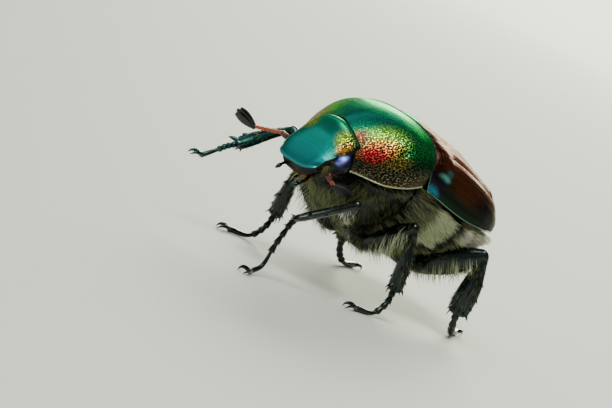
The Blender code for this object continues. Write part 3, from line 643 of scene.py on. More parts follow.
hind = {
    "y": (-1.4, -0.6, 0.5, 1.8, 3.0, 4.0, 4.7, 5.2),
    "halfWidth": (2.88, 2.97, 3.06, 3.08, 2.94, 2.56, 2.06, 1.4),
    "top": (2.46, 2.5, 2.4, 2.12, 1.72, 1.27, 0.85, 0.42),
    "margin": (0.78, 0.6, 0.36, 0.14, 0.06, -0.02, -0.08, -0.15),
    "belly": (-2.4, -2.6, -2.8, -2.78, -2.6, -2.25, -1.85, -1.4),
    "power": (backPower,) * 8,
}
hood = {
    "y": (-4.3, -3.6, -2.8, -2.0, -1.1),
    "halfWidth": (1.2, 1.68, 2.36, 2.74, 2.84),
    "top": (1.0, 1.54, 2.05, 2.37, 2.5),
    "margin": (-0.12, -0.04, 0.06, 0.36, 0.8),
    "belly": (-0.7, -0.98, -1.55, -1.98, -2.35),
    "power": (1.6, 1.66, 1.9, 2.2, 2.3),
}


def bodySection(form, y, angle, inset=0.0, lower=0.0):
    keys = ("halfWidth", "top", "margin", "belly", "power")
    width, top, margin, belly, power = (smooth(form["y"], form[key], y) for key in keys)
    return section(width - inset, top - inset, margin, belly + lower, angle, power)


# Pronotum

pronotumShape = {
    "front": -3.74, "bow": 0.1, "rear": -1.12, "rearBow": 0.13, "rearCorner": 0.24, "lowEdge": 0.09,
    "flare": 0.05, "flareFrom": 0.93, "columns": 240, "rows": 120, "arc": 4.3, "length": 2.6,
    "thickness": 0.16, "sideBead": 0.031, "sideBeadLow": 0.01, "frontBead": 0.022, "rearBead": 0.026,
    "pit": (0.62, 0.52), "pitReach": (0.045, 0.055), "pitDepth": 0.06,
}


def baseLine(share):
    # where the pronotum ends and the wing cases start, from the middle to the side
    p, share = pronotumShape, np.abs(share)
    bow = p["rearBow"] * np.sin(math.pi * np.clip(share, 0, 1)) ** 2
    return p["rear"] + bow - p["rearCorner"] * share ** 8


def hoodPlace(across, along):
    p = pronotumShape
    across, along = paired(across, along)
    front = p["front"] - p["bow"] * np.abs(across) ** 2.5
    y = front + (baseLine(across) - front) * along
    x, z = bodySection(hood, y, math.pi / 2 - (math.pi / 2 + p["lowEdge"]) * across)
    flare = p["flare"] * np.clip((np.abs(across) - p["flareFrom"]) / (1 - p["flareFrom"]), 0, None)
    dimple = p["pitDepth"] * bump(np.abs(across), along, p["pit"], p["pitReach"])
    return stacked(x + np.sign(across) * flare, y, z - dimple)


def roundBead(line, radius):
    return sweep(line, radius, radius, (0, 0, 1), 10)


def buildPronotum():
    p = pronotumShape
    across = np.linspace(1, -1, p["columns"])
    along = np.linspace(0, 1, p["rows"])[:, None]
    lay = stacked(np.abs(across), along, across)
    skin = np.vstack([(lay * (p["arc"], p["length"], 0)).reshape(-1, 3)] * 2)
    plate = shell(hoodPlace(across, along), p["thickness"], np.array((0, -2.4, 0)), lay)
    makePiece("pronotum_plate", plate, finishes["pronotum"], ["pronotum"], skin=skin)
    ends = [roundBead(hoodPlace(across, 0.0), p["frontBead"]),
            roundBead(hoodPlace(across[::-1], 1.0), p["rearBead"])]
    # these beads are painted near-black as the shade in the seams at the pronotum's front and rear
    makePiece("pronotum_front_and_rear_beads", joined(ends), finishes["shadeBead"])
    lines = (hoodPlace(-1.0, along[:, 0]), hoodPlace(1.0, along[::-1, 0]))
    sides = [roundBead(line - (0, 0, p["sideBeadLow"]), p["sideBead"]) for line in lines]
    # the side beads are painted pale as a highlight
    makePiece("pronotum_side_beads", joined(sides), finishes["highlightBead"])


# Scutellum and wing cases

scutellumShape = {
    "base": -1.02, "tip": 0.28, "halfWidth": 0.66, "gap": 0.02, "tipGap": 0.03, "lift": 0.03, "arch": 0.05,
    "tuck": 0.08, "thickness": 0.2, "columns": 44, "rows": 44,
}
wingShape = {
    "frontGap": 0.06, "shoulderBack": 0.45, "tip": 4.85, "cornerBack": 0.62, "seamBack": 0.15, "seam": 0.02,
    "lowEdge": 0.11, "columns": 200, "rows": 130, "thickness": 0.16, "sideBead": 0.03, "seamBead": 0.022,
    "beadLow": 0.015, "grooves": 10, "grooveWidth": 0.28, "grooveDepth": 0.009, "ridges": 5, "ridgeHeight": 0.016,
    "frontDip": 0.2, "frontDipLength": 0.16,
    # height, middle and reach of the shoulder, the knob near the tail and the dip between them
    "swellings": ((0.12, (2.5, -0.35), (0.35, 0.45)), (0.12, (1.7, 3.85), (0.45, 0.45)),
                  (-0.12, (0.9, 0.5), (0.6, 0.5))),
}


def scutellumEdge(y):
    s = scutellumShape
    share = np.clip((y - s["base"]) / (s["tip"] - s["base"]), 0, 1)
    return s["halfWidth"] * np.sqrt(1 - share ** 1.5)


def scutellumPlace(across, along):
    s = scutellumShape
    across, along = paired(across, along)
    y = s["base"] + (s["tip"] - s["tipGap"] - s["base"]) * along
    z = smooth(hind["y"], hind["top"], y) + s["lift"] - s["arch"] * across ** 2 - s["tuck"] * (1 - along) ** 4
    return stacked(across * (scutellumEdge(y) - s["gap"]), y, z)


def buildScutellum():
    s = scutellumShape
    across = np.linspace(1, -1, s["columns"])
    along = np.linspace(0, 1, s["rows"])[:, None]
    grid = scutellumPlace(across, along)
    lay = stacked(np.abs(across), along, across)
    plate = shell(grid, s["thickness"], np.array((0, -0.4, 0)), lay)
    makePiece("scutellum_plate", plate, finishes["scutellum"], ["scutellum"])


def wingPlace(across, along):
    w = wingShape
    across, along = paired(across, along)
    front = baseLine(0.1 + 0.86 * across) + w["frontGap"] + w["shoulderBack"] * across ** 8
    back = w["tip"] - w["cornerBack"] * across ** 3 - w["seamBack"] * (1 - across) ** 8
    y = front + (back - front) * along
    halfWidth = smooth(hind["y"], hind["halfWidth"], y)
    seam = np.where(y < scutellumShape["tip"], np.maximum(w["seam"], scutellumEdge(y) + 0.01), w["seam"])
    seamAngle = np.arccos((seam / halfWidth) ** (backPower / 2))
    angle = seamAngle - (seamAngle + w["lowEdge"]) * across
    x, z = bodySection(hind, y, angle)
    out = unit(stacked(np.maximum(np.cos(angle), 0.05), 0.1, np.maximum(np.sin(angle), 0.05)))
    lift = sum(height * bump(x, y, middle, reach) for height, middle, reach in w["swellings"])
    lift = lift - w["frontDip"] * np.exp(-(y - front) / w["frontDipLength"])
    fade = np.clip(5 * (1 - across), 0, 1) * np.clip(6 * along, 0, 1) * np.clip(5 * (1 - along), 0, 1)
    lift = lift + w["ridgeHeight"] * np.cos(2 * math.pi * w["ridges"] * across) * fade
    lift = lift - crease(np.sin(math.pi * w["grooves"] * across), w["grooveWidth"], w["grooveDepth"]) * fade
    return stacked(x, y, z) + out * lift[..., None]


def buildWingCase(side, name):
    w = wingShape
    across = np.linspace(0, 1, w["columns"])
    along = np.linspace(0, 1, w["rows"])[:, None]
    grid = wingPlace(across, along)
    plate = shell(grid, w["thickness"], np.array((0, 1.5, 0)), stacked(across, along, grid[..., 1]))
    edges = [wingPlace(across, 0.0), wingPlace(1.0, along[:, 0])[1:], wingPlace(across[::-1], 1.0)[1:],
             wingPlace(0.0, along[::-1, 0])[1:-1]]
    beads = [np.full(len(edge), w["sideBead"] if i == 1 else w["seamBead"]) for i, edge in enumerate(edges)]
    rim = loopTube(np.vstack(edges) - (0, 0, w["beadLow"]), np.concatenate(beads))
    if side == right:
        plate, rim = mirrored(plate), mirrored(rim)
    makePiece(name + "_plate", plate, finishes["copper"], [name])
    makePiece(name + "_rim", rim, finishes["bead"])


# Trunk: hood sides, chest and belly rings

trunkShape = {"around": 160, "under": 0.34, "side": 0.07, "edgeSine": 0.1, "fullSine": 0.3, "ringStep": 0.05}
segmentEdges = (1.86, 2.46, 3.06, 3.66, 4.22, 4.86)
trunkParts = {
    "prothorax": {"form": hood, "from": -3.4, "to": -1.15, "rows": 60},
    "thorax": {"form": hind, "from": -1.25, "to": 1.86, "rows": 90},
    "abdomen": {"form": hind, "from": 1.8, "to": 4.86, "rows": 130},
}


sutures = {  # angle from the flank, width and depth of the line along each side
    "prothorax": (-0.75, 0.04, 0.05), "thorax": (-0.5, 0.035, 0.06), "abdomen": (-0.62, 0.05, 0.05),
}


def trunkRelief(part, y, angle):
    # sutures and the step from each belly ring to the next
    turn, width, depth = sutures[part]
    fold = np.where(np.cos(angle) < 0, math.pi - angle, angle)  # the same on both sides
    fold = np.where(fold > math.pi, fold - 2 * math.pi, fold)
    if part == "abdomen":
        lift, step = np.zeros_like(y), trunkShape["ringStep"]
        for start, end in zip(segmentEdges, segmentEdges[1:]):
            share = np.clip((y - start) / (end - start), 0, 1)
            lift = np.where((y >= start) & (y < end), step * share - step * np.exp(-share / 0.06), lift)
        return lift - crease(fold - turn, width, depth)
    if part == "thorax":
        plates = crease(fold - turn + 0.05 * y, width, depth) * ease(-0.3, 0.1, y)
        cross = crease(y + 0.05 + 0.3 * fold, 0.05, 0.07) * ease(-1.9, -1.5, fold)
        midline = crease(np.abs(fold) - math.pi / 2, 0.03, 0.06) * ease(0, -0.3, np.sin(angle))
        return -plates - cross - midline
    return -crease(fold - turn, width, depth)


def trunkPlace(part, y, angle):
    t = trunkShape
    y, angle = paired(y, angle)
    below = ease(t["edgeSine"], t["fullSine"], -np.sin(angle))
    inset = t["under"] + (t["side"] - t["under"]) * below
    lift = trunkRelief(part, y, angle)
    x, z = bodySection(trunkParts[part]["form"], y, angle, inset - lift * below, -lift * below)
    return stacked(x, y, z)


def buildTrunk():
    for part, plan in trunkParts.items():
        ys = np.linspace(plan["from"], plan["to"], plan["rows"])[:, None]
        angles = circle(trunkShape["around"])
        angles = np.where(angles > math.pi, angles - 2 * math.pi, angles)
        grid = trunkPlace(part, ys, angles)
        lay = stacked(angles / math.pi, ys, 0 * ys)
        makePiece(part + "_plates", closedForm(grid, lay), finishes["under"], [part])


pygidiumShape = {
    "y": (4.85, 4.95, 5.12, 5.28, 5.4, 5.47),
    "halfWidth": (1.78, 1.66, 1.44, 1.12, 0.76, 0.4),
    "top": (0.42, 0.2, -0.16, -0.6, -1.0, -1.28),
    "low": (-1.82, -1.8, -1.78, -1.74, -1.68, -1.6),
    "rows": 50, "around": 110, "tip": 0.03, "colourRun": 0.7,
}


def pygidiumPlace(y, angle):
    p = pygidiumShape
    y, angle = paired(y, angle)
    width, top, low = (smooth(p["y"], p[key], y) for key in ("halfWidth", "top", "low"))
    x, z = section(width, top, (top + low) / 2, low, angle)
    return stacked(x, y, z)


def buildPygidium():
    p = pygidiumShape
    ys = np.linspace(p["y"][0], p["y"][-1], p["rows"])[:, None]
    angles = circle(p["around"])
    grid = pygidiumPlace(ys, angles)
    lay = stacked(np.abs(np.cos(angles)), (ys - p["y"][0]) / p["colourRun"], 0)
    poles = (grid[0].mean(axis=0), grid[-1].mean(axis=0) + (0, p["tip"], 0))
    makePiece("pygidium_plate", closedForm(grid, lay, poles), finishes["scutellum"],
              ["pygidium"])


# Head: a capsule, the flat shield over it with its raised rim, and the eyes

headShape = {
    "neck": (0.0, -3.74, 0.98), "slope": math.radians(49.0), "browShare": 0.3, "around": 120, "rows": 90,
    "along": (-0.45, 0.0, 0.4, 0.85, 1.25, 1.65, 2.0, 2.33), "last": 2.25,
    "halfWidth": (1.05, 1.28, 1.32, 1.24, 1.14, 1.06, 1.02, 0.95),
    "sink": (0.25, -0.26, -0.3, -0.27, -0.21, -0.15, -0.1, -0.04),
    "deep": (0.9, 1.25, 1.45, 1.4, 1.15, 0.9, 0.62, 0.45),
    "power": (2.3, 2.3, 2.4, 2.7, 3.1, 3.4, 3.6, 3.6), "cheekPower": 2.4, "chinPower": 2.0,
    "sideFall": 0.22, "sideFallLength": 1.6, "crown": 0.31, "crownWidth": 1.06, "crownFrom": 0.7,
    "crownFull": -0.3, "frontFrom": 1.2, "frontFall": 0.07, "cornerBack": 0.42,
}
headShield = {
    "from": -0.42, "to": 2.28, "edge": 0.27, "columns": 150, "rows": 130, "thickness": 0.05, "lift": 0.015,
    "halfSpan": 0.55, "rimFrom": 0.9, "rimFull": 1.4, "rimHeight": 0.01, "rimWidth": 0.08, "rimOut": 0.03,
    "bead": 0.012, "suture": 1.3, "sutureBow": 0.12, "sutureWidth": 0.025, "sutureDepth": 0.003,
}
eyeBall = {
    "centre": (1.06, -3.93, -0.06), "radius": 0.45, "radii": (0.45, 0.52, 0.43), "around": 64, "rings": 40,
    "orbit": 0.5, "orbitFrom": 0.85, "orbitFull": 1.12, "tuck": 0.03, "orbitSlope": 2.4,
}
canthus = {"line": ((1.08, -4.53, -0.1), (1.28, -4.4, -0.18), (1.42, -4.22, -0.25), (1.48, -4.08, -0.3)),
           "wide": (0.07, 0.065, 0.05, 0.025), "thick": 0.03, "towards": (0.2, 0.4, 1.0)}
headLine = np.array((0, -math.cos(headShape["slope"]), -math.sin(headShape["slope"])))
browLine = np.array((0, -math.sin(headShape["slope"]), math.cos(headShape["slope"])))


def headPlace(along, angle):
    h = headShape
    along, angle = paired(along, angle)
    halfWidth, deep, sink, power = (smooth(h["along"], h[key], along)
                                    for key in ("halfWidth", "deep", "sink", "power"))
    sine = np.sin(angle)
    x = halfWidth * rounded(np.cos(angle), np.where(sine > 0, power, h["cheekPower"]))
    share = np.where(sine > 0, h["browShare"], 1 - h["browShare"])
    height = deep * share * rounded(sine, np.where(sine > 0, power, h["chinPower"]))
    fall = h["sideFall"] * np.clip(1 - along / h["sideFallLength"], 0, None) * (x / halfWidth) ** 2
    up = height - fall - sink - deep * h["browShare"]
    crown = np.clip(1 - (x / h["crownWidth"]) ** 2, 0, None) * ease(h["crownFrom"], h["crownFull"], along)
    up = up + h["crown"] * crown * ease(0, 0.6, sine)  # the crown rises to the pronotum's front edge
    front = np.clip(along - h["frontFrom"], 0, 1) ** 2
    up = up - h["frontFall"] * front
    along = along - h["cornerBack"] * front * x ** 4
    return byHead(x[..., None] * (1, 0, 0), along[..., None], up[..., None])


def byHead(across, along, up):
    # across is how far out to the left, or a vector that points there
    across = across if np.ndim(across) else (across, 0, 0)
    return np.array(headShape["neck"]) + across + headLine * along + browLine * up


def shieldPlace(along, angle):
    # the capsule's top, lifted a little, with a raised rim and the groove behind the clypeus
    s = headShield
    along, angle = paired(along, angle)
    place = headPlace(along, angle)
    side = np.minimum(angle, math.pi - angle) - s["edge"]
    rim = crease(np.minimum(side * s["halfSpan"], s["to"] - along), s["rimWidth"], 1.0)
    rim = rim * ease(s["rimFrom"], s["rimFull"], along)
    bow = along - s["suture"] - s["sutureBow"] * np.abs(place[..., 0]) ** 2
    lift = s["lift"] + s["rimHeight"] * rim - crease(bow, s["sutureWidth"], s["sutureDepth"])
    place = place + browLine * lift[..., None]
    place[..., 0] += np.sign(place[..., 0]) * s["rimOut"] * rim
    return orbit(place)


def orbit(places):
    # draws the head in round each eye, so that the eye's upper half stands free
    e, mirror = eyeBall, np.where(places[..., :1] < 0, (-1, 1, 1), (1, 1, 1))
    near = places * mirror - e["centre"]
    far = np.linalg.norm(near, axis=-1, keepdims=True)
    outer = ease(e["orbitFrom"], e["orbitFull"], np.abs(places[..., :1]))
    drawn = np.minimum(far, e["radius"] - e["tuck"] + e["orbitSlope"] * np.clip(far - e["orbit"], 0, None))
    return (near * (1 + (drawn / far - 1) * outer) + e["centre"]) * mirror


def runs(grid, axis):
    # how far each point is along its row or column
    steps = np.diff(grid, axis=axis, prepend=np.take(grid, [0], axis))
    return np.linalg.norm(steps, axis=-1).cumsum(axis=axis)


def buildHead():
    h, s = headShape, headShield
    alongs = np.linspace(h["along"][0], h["last"], h["rows"])[:, None]
    angles = circle(h["around"])
    grid = orbit(headPlace(alongs, angles))
    poles = (grid[0].mean(axis=0), grid[-1].mean(axis=0) - browLine * 0.06)
    capsule = closedForm(grid, stacked(alongs, np.cos(angles), np.sin(angles)), poles)
    makePiece("head_capsule", capsule, finishes["face"], ["head"])
    alongs = np.linspace(s["from"], s["to"], s["rows"])[:, None]
    angles = np.linspace(s["edge"], math.pi - s["edge"], s["columns"])
    grid = shieldPlace(alongs, angles)
    widths = runs(grid, 1)
    skin = stacked(np.abs(widths - widths[:, [s["columns"] // 2]]), runs(grid, 0), 0).reshape(-1, 3)
    plate = shell(grid, s["thickness"], byHead(0, 1.0, -0.6), stacked(alongs, np.abs(np.cos(angles)), angles))
    makePiece("head_shield", plate, finishes["head"], skin=np.vstack([skin] * 2))
    sideRun = np.linspace(s["rimFrom"], s["to"], 60)
    rim = np.vstack([shieldPlace(sideRun, s["edge"]), shieldPlace(s["to"], angles)[1:-1],
                     shieldPlace(sideRun[::-1], math.pi - s["edge"])])
    makePiece("head_rim", sweep(rim, s["bead"], s["bead"], browLine, 10), finishes["bead"])


def buildEye(side, sideName):
    e = eyeBall
    turn = np.stack([(side, 0, 0), headLine, browLine], axis=1)
    ball = ballShape(np.array(e["centre"]) * (side, 1, 1), e["radii"], e["around"], e["rings"], turn)
    makePiece("eye_%s_lens" % sideName, ball, finishes["eye"], ["eye_" + sideName])
    line, wide = curvePoints(canthus["line"], 16) * (side, 1, 1), evenly(canthus["wide"], 16)
    blade = sweep(line, wide, canthus["thick"], canthus["towards"], 12)
    # the canthus is painted near-black as shade under the head's edge
    makePiece("canthus_" + sideName, blade, finishes["shadeBead"])


# Mouth: labrum, mandibles, maxillae and jointed palps
# Each palp's root, middle and tip, by how far out, along and up from the head's line they lie

mouthShape = {
    "mass": ((0, 1.5, -0.74), (0.55, 0.5, 0.32)), "labrum": ((0, 1.93, -0.42), (0.5, 0.17, 0.12)),
    "mentum": ((0, 1.35, -1.03), (0.3, 0.42, 0.12)), "mandible": ((0.36, 1.83, -0.58), (0.18, 0.27, 0.16)),
    "maxilla": ((0.34, 1.75, -0.82), (0.15, 0.3, 0.14)),
    "palpBreaks": (0.0, 0.2, 0.42, 0.64, 1.0), "palpSizes": (0.062, 0.0434), "palpEnd": 0.085 / 0.062,
}
palpPlaces = {
    left: (((0.44, 1.75, -0.7), (0.54, 2.3, -0.7), (0.5, 2.79, -0.58)),
           ((0.2, 1.5, -0.98), (0.25, 1.9, -1.06), (0.2, 2.2, -0.98))),
    right: (((0.44, 1.75, -0.58), (0.52, 2.25, -0.4), (0.5, 2.66, -0.33)),
            ((0.2, 1.5, -0.98), (0.24, 1.9, -1.06), (0.2, 2.2, -0.98))),
}


def palp(points, size):
    path = curvePoints(points, 41)
    joints, breaks, end = [], mouthShape["palpBreaks"], mouthShape["palpEnd"]
    for i, (start, stop) in enumerate(zip(breaks, breaks[1:])):
        run = path[round(start * 40):round(stop * 40) + 1]
        width = size * evenly((0.8, 1.0, 0.9) if i < 3 else (0.5, end, 0.5 * end), len(run))
        joints.append(sweep(run, width, width, (1, 0.2, 0), 12))
    return joined(joints)


def buildMouth():
    m = mouthShape
    turn = np.stack([(1, 0, 0), headLine, -browLine], axis=1)
    shapes = [ballShape(byHead(*m[key][0]), m[key][1], 32, 18, turn) for key in ("mass", "labrum", "mentum")]
    palps = []
    for side in (left, right):
        for key in ("mandible", "maxilla"):
            (x, along, up), radii = m[key]
            shapes.append(ballShape(byHead(side * x, along, up), radii, 24, 14, turn))
        for places, size in zip(palpPlaces[side], m["palpSizes"]):
            palps.append(palp([byHead(side * x, along, up) for x, along, up in places], size))
    makePiece("mouth_plates", joined(shapes), finishes["face"], ["mouthparts"])
    makePiece("palps", joined(palps), finishes["leg"])


# Antennae: scape, fine joints and a club of three leaves

antennaShape = {
    "base": (0.95, -4.35, -0.3), "socket": 0.1, "joints": 7, "jointGap": 0.02, "clubLength": 0.9, "fan": 0.13,
    "stack": 0.06, "outerLeaf": 0.94, "leafBow": 0.03, "leafRoot": 0.05,
    "scape": (0.07, 0.065, 0.08, 0.12, 0.1), "joint": (0.055, 0.07, 0.08, 0.065),
    "leafWide": (0.06, 0.13, 0.175, 0.18, 0.1), "leafThick": (0.05, 0.06, 0.065, 0.06, 0.04),
}
antennaPoses = {
    "antenna_right": {"side": right, "scapeEnd": (-1.45, -4.72, -0.1), "stalkEnd": (-2.05, -5.6, -0.36),
                      "club": (-0.7, -0.5, 0.28), "fan": (-0.3, 0.6, 0.75)},
    "antenna_left": {"side": left, "scapeEnd": (1.22, -4.25, -0.72), "stalkEnd": (1.28, -4.0, -0.84),
                     "club": (0.32, 0.88, -0.05), "fan": (0.75, -0.3, -0.3)},
}


def buildAntenna(name):
    a, pose = antennaShape, antennaPoses[name]
    base = np.array(a["base"]) * (pose["side"], 1, 1)
    scapeEnd, stalkEnd = np.array(pose["scapeEnd"]), np.array(pose["stalkEnd"])
    path, width = curvePoints((base, (base + scapeEnd) / 2, scapeEnd), 16), evenly(a["scape"], 16)
    scape = [sweep(path, width, width, (0, 0.2, 1), 14), ballShape(base, (a["socket"],) * 3, 16, 10)]
    makePiece(name + "_scape", joined(scape), finishes["scape"])
    shapes, stalk = [], stalkEnd - scapeEnd
    steps, width = np.linspace(0, 1, a["joints"] + 1), evenly(a["joint"], 6)
    for start, end in zip(steps, steps[1:]):
        run = np.linspace(scapeEnd + stalk * start, scapeEnd + stalk * (end - a["jointGap"]), 6)
        shapes.append(sweep(run, width, width, (0, 0.2, 1), 14))
    makePiece(name + "_stalk", joined(shapes), finishes["stalk"], [name])
    club, fan = unit(pose["club"]), unit(pose["fan"])
    leaves = []
    for k in (-1, 0, 1):
        line = unit(club + fan * a["fan"] * k)
        reach = line * a["clubLength"] * (a["outerLeaf"] if k else 1.0)
        root = stalkEnd - line * a["leafRoot"] + fan * a["stack"] * k
        points = (root, root + reach * 0.5 + fan * a["leafBow"] * k, root + reach)
        leaves.append(sweep(curvePoints(points, 16), evenly(a["leafWide"], 16), evenly(a["leafThick"], 16),
                            np.cross(fan, line), 20, 4))
    makePiece(name + "_club", joined(leaves), finishes["club"])


# Legs: coxa, trochanter, femur, spiny tibia, five toe joints and two unequal claws

legPlan = {
    "front_left": {"hip": (0.85, -2.2, -1.7), "knee": (2.45, -3.67, -1.08), "ankle": (1.8, -5.69, -2.43),
                   "toes": ((1.78, -5.9, 1.3), (1.8, -6.1, 0.42), (1.88, -6.62, 0.16))},
    "mid_left": {"hip": (1.1, -0.7, -2.55), "knee": (2.95, -0.68, -1.0), "ankle": (3.25, -0.5, -3.3),
                 "toes": ((3.27, -0.52, 0.72), (3.2, -0.82, 0.25), (3.02, -1.7, 0.17))},
    "hind_left": {"hip": (1.1, 1.95, -2.65), "knee": (3.3, 3.45, -1.0), "ankle": (3.35, 3.45, -3.3),
                  "toes": ((3.3, 3.7, 0.6), (2.95, 4.3, 0.24), (2.45, 5.2, 0.17))},
    "front_right": {"hip": (-0.8, -2.02, -1.45), "knee": (-2.95, -2.6, -0.05), "ankle": (-3.1, -4.76, -1.33),
                    "toes": ((-3.17, -5.1, 3.27), (-3.22, -5.4, 3.03), (-3.32, -5.95, 2.64))},
    "mid_right": {"hip": (-1.1, -0.7, -2.55), "knee": (-3.05, -1.0, -1.1), "ankle": (-3.2, -0.95, -3.3),
                  "toes": ((-3.25, -1.05, 0.75), (-3.35, -1.45, 0.26), (-3.65, -2.4, 0.17))},
    "hind_right": {"hip": (-1.1, 1.95, -2.65), "knee": (-3.25, 3.3, -1.05), "ankle": (-3.4, 3.5, -3.3),
                   "toes": ((-3.42, 3.85, 0.6), (-3.5, 4.4, 0.24), (-3.7, 5.3, 0.17))},
}
legSizes = {
    "front": {"femur": ((0.2, 0.34, 0.36, 0.2), (0.18, 0.26, 0.26, 0.16)),
              "tibia": ((0.12, 0.17, 0.22, 0.26, 0.25), (0.12, 0.15, 0.16, 0.16, 0.13)), "toe": 0.105,
              "coxa": ((0.6, -2.0, -1.6), (0.5, 0.42, 0.5))},
    "mid": {"femur": ((0.24, 0.4, 0.4, 0.22), (0.22, 0.3, 0.28, 0.18)),
            "tibia": ((0.13, 0.19, 0.26, 0.3, 0.31), (0.12, 0.17, 0.22, 0.24, 0.23)), "toe": 0.115,
            "coxa": ((0.86, -0.62, -2.4), (0.6, 0.44, 0.4))},
    "hind": {"femur": ((0.3, 0.52, 0.52, 0.27), (0.26, 0.36, 0.35, 0.2)),
             "tibia": ((0.16, 0.25, 0.37, 0.42, 0.4), (0.15, 0.21, 0.28, 0.3, 0.28)), "toe": 0.13,
             "coxa": ((1.2, 1.72, -2.42), (1.12, 0.42, 0.38))},
}
spineRows = {  # share of the tibia, the angles of a comb from the outer edge in degrees, length
    "front": ((0.3, (-40, 40), 0.1), (0.5, (-40, 40), 0.12), (0.99, (-100, 100, 180), 0.16)),
    "mid": ((0.24, (-20, 25), 0.16), (0.4, (-70, -35, 0, 35), 0.22), (0.55, (-130, 130), 0.14),
            (0.66, (-75, -40, -5, 30, 65), 0.24), (0.82, (-20, 20, 150), 0.18),
            (0.98, (-120, -85, -50, -15, 20, 55, 90, 125), 0.22)),
    "hind": ((0.22, (-20, 25), 0.18), (0.4, (-80, -45, -10, 25, 60), 0.25), (0.54, (-130, 130), 0.16),
             (0.66, (-85, -52, -19, 14, 47, 80), 0.28), (0.82, (-20, 20, 150), 0.2),
             (0.98, (-130, -100, -70, -40, -10, 20, 50, 80, 110, 140), 0.25)),
}


limbForm = {
    "steps": 40, "sag": 0.08, "bend": 0.05, "keel": 0.12, "trochanter": (0.24, 0.22, 0.22),
    "trochanterOut": 0.12, "spine": 0.036, "teeth": ((0.76, 0.24), (0.97, 0.34)), "tooth": 0.11,
    "spurs": ((0.11, 0.42), (-0.11, 0.34)), "spur": 0.042,
}


def pairAndSide(leg):
    pair, sideName = leg.split("_")
    return pair, left if sideName == "left" else right


def limbPath(leg, part):
    steps = limbForm["steps"]
    hip, knee, ankle = (np.array(legPlan[leg][key]) for key in ("hip", "knee", "ankle"))
    wide, thick = (evenly(sizes, steps) for sizes in legSizes[pairAndSide(leg)[0]][part])
    if part == "femur":
        middle = (hip + knee) / 2 - (0, 0, limbForm["sag"])
        return curvePoints((hip, middle, knee), steps), wide, thick, np.array((0, 0, 1.0))
    middle = (knee + ankle) / 2 + unit(knee - hip) * limbForm["bend"]
    return curvePoints((knee, middle, ankle), steps), wide, thick, knee - hip


def onLimb(leg, part, shares, turns):
    # places and outward directions on a limb, by share of its length and angle round it
    path, wide, thick, towards = limbPath(leg, part)
    tangents, first, second = ringFrames(path, towards)
    last = limbForm["steps"] - 1
    i = np.clip((np.asarray(shares) * last).round().astype(int), 0, last)
    cosine, sine = np.cos(turns)[:, None], np.sin(turns)[:, None]
    w, t = wide[i][:, None], thick[i][:, None]
    places = path[i] + first[i] * w * cosine + second[i] * t * sine
    return places, unit(first[i] * cosine / w + second[i] * sine / t), tangents[i]


def buildLeg(leg):
    f = limbForm
    pair, side = pairAndSide(leg)
    hip, knee, ankle = (np.array(legPlan[leg][key]) for key in ("hip", "knee", "ankle"))
    # the right front leg takes the lighter teal copy of the leg finish, a painted highlight
    finish = finishes["litLegTeal" if leg == "front_right" else "leg"]
    coxaCentre, coxaRadii = legSizes[pair]["coxa"]
    coxa = ballShape(np.array(coxaCentre) * (side, 1, 1), coxaRadii, 36, 22)
    makePiece("coxa_%s_plate" % leg, coxa, finishes["under"], ["coxa_" + leg])
    trochanter = ballShape(hip + unit(knee - hip) * f["trochanterOut"], f["trochanter"], 24, 14)
    femur = joined([sweep(*limbPath(leg, "femur"), 28, 5), trochanter])
    makePiece("femur_%s_cuticle" % leg, femur, finish, ["femur_" + leg])
    path, wide, thick, towards = limbPath(leg, "tibia")
    shapes = [sweep(path, wide, thick, towards, 28, 4, keel=f["keel"])]
    for share, degrees, length in spineRows[pair]:
        turns = np.radians(degrees)
        for place, out, down in zip(*onLimb(leg, "tibia", share + 0.02 * np.cos(2 * turns), turns)):
            shapes.append(spike(place - out * 0.02, out * 0.7 + down * 0.85, length, f["spine"], down * 0.1))
    for share, length in f["teeth"] if pair == "front" else ():  # on the outer edge
        place, out, down = (found[0] for found in onLimb(leg, "tibia", [share], np.zeros(1)))
        shapes.append(spike(place - out * 0.08, out * 0.8 + down * 0.75, length, f["tooth"], down * 0.15, 10))
    makePiece("tibia_%s_cuticle" % leg, joined(shapes), finish, ["tibia_" + leg])
    down = unit(ankle - knee)
    inner = -unit(towards - np.dot(towards, down) * down)
    across = np.cross(down, inner)
    spurs = []
    for aside, length in f["spurs"][:1 if pair == "front" else 2]:
        root = ankle + inner * wide[-1] * 0.6 + across * aside
        spurs.append(spike(root, down + inner * 0.35, length, f["spur"], inner * -0.15, 8))
    makePiece("spurs_%s" % leg, joined(spurs), finishes["spur"])
    buildFoot(leg, legSizes[pair]["toe"], ankle, legPlan[leg]["toes"], finish)


toeShape = {
    "steps": 100, "breaks": (0.0, 0.15, 0.28, 0.4, 0.53, 1.0), "flare": (0.7, 0.85, 1.05, 1.2),
    "last": (0.6, 0.75, 0.9, 1.0), "drop": 0.06, "spine": (0.15, 0.022), "claw": (0.085, 0.08, 0.055, 0.012),
    "clawThick": (0.06, 0.06, 0.045, 0.012), "clawLengths": (0.62, 0.5), "clawTips": 0.02,
    "clawLine": ((0.0, 0.05, 0.0), (0.32, 0.15, 0.07), (0.78, 0.2, 0.02)),  # share of its length, aside, up
}


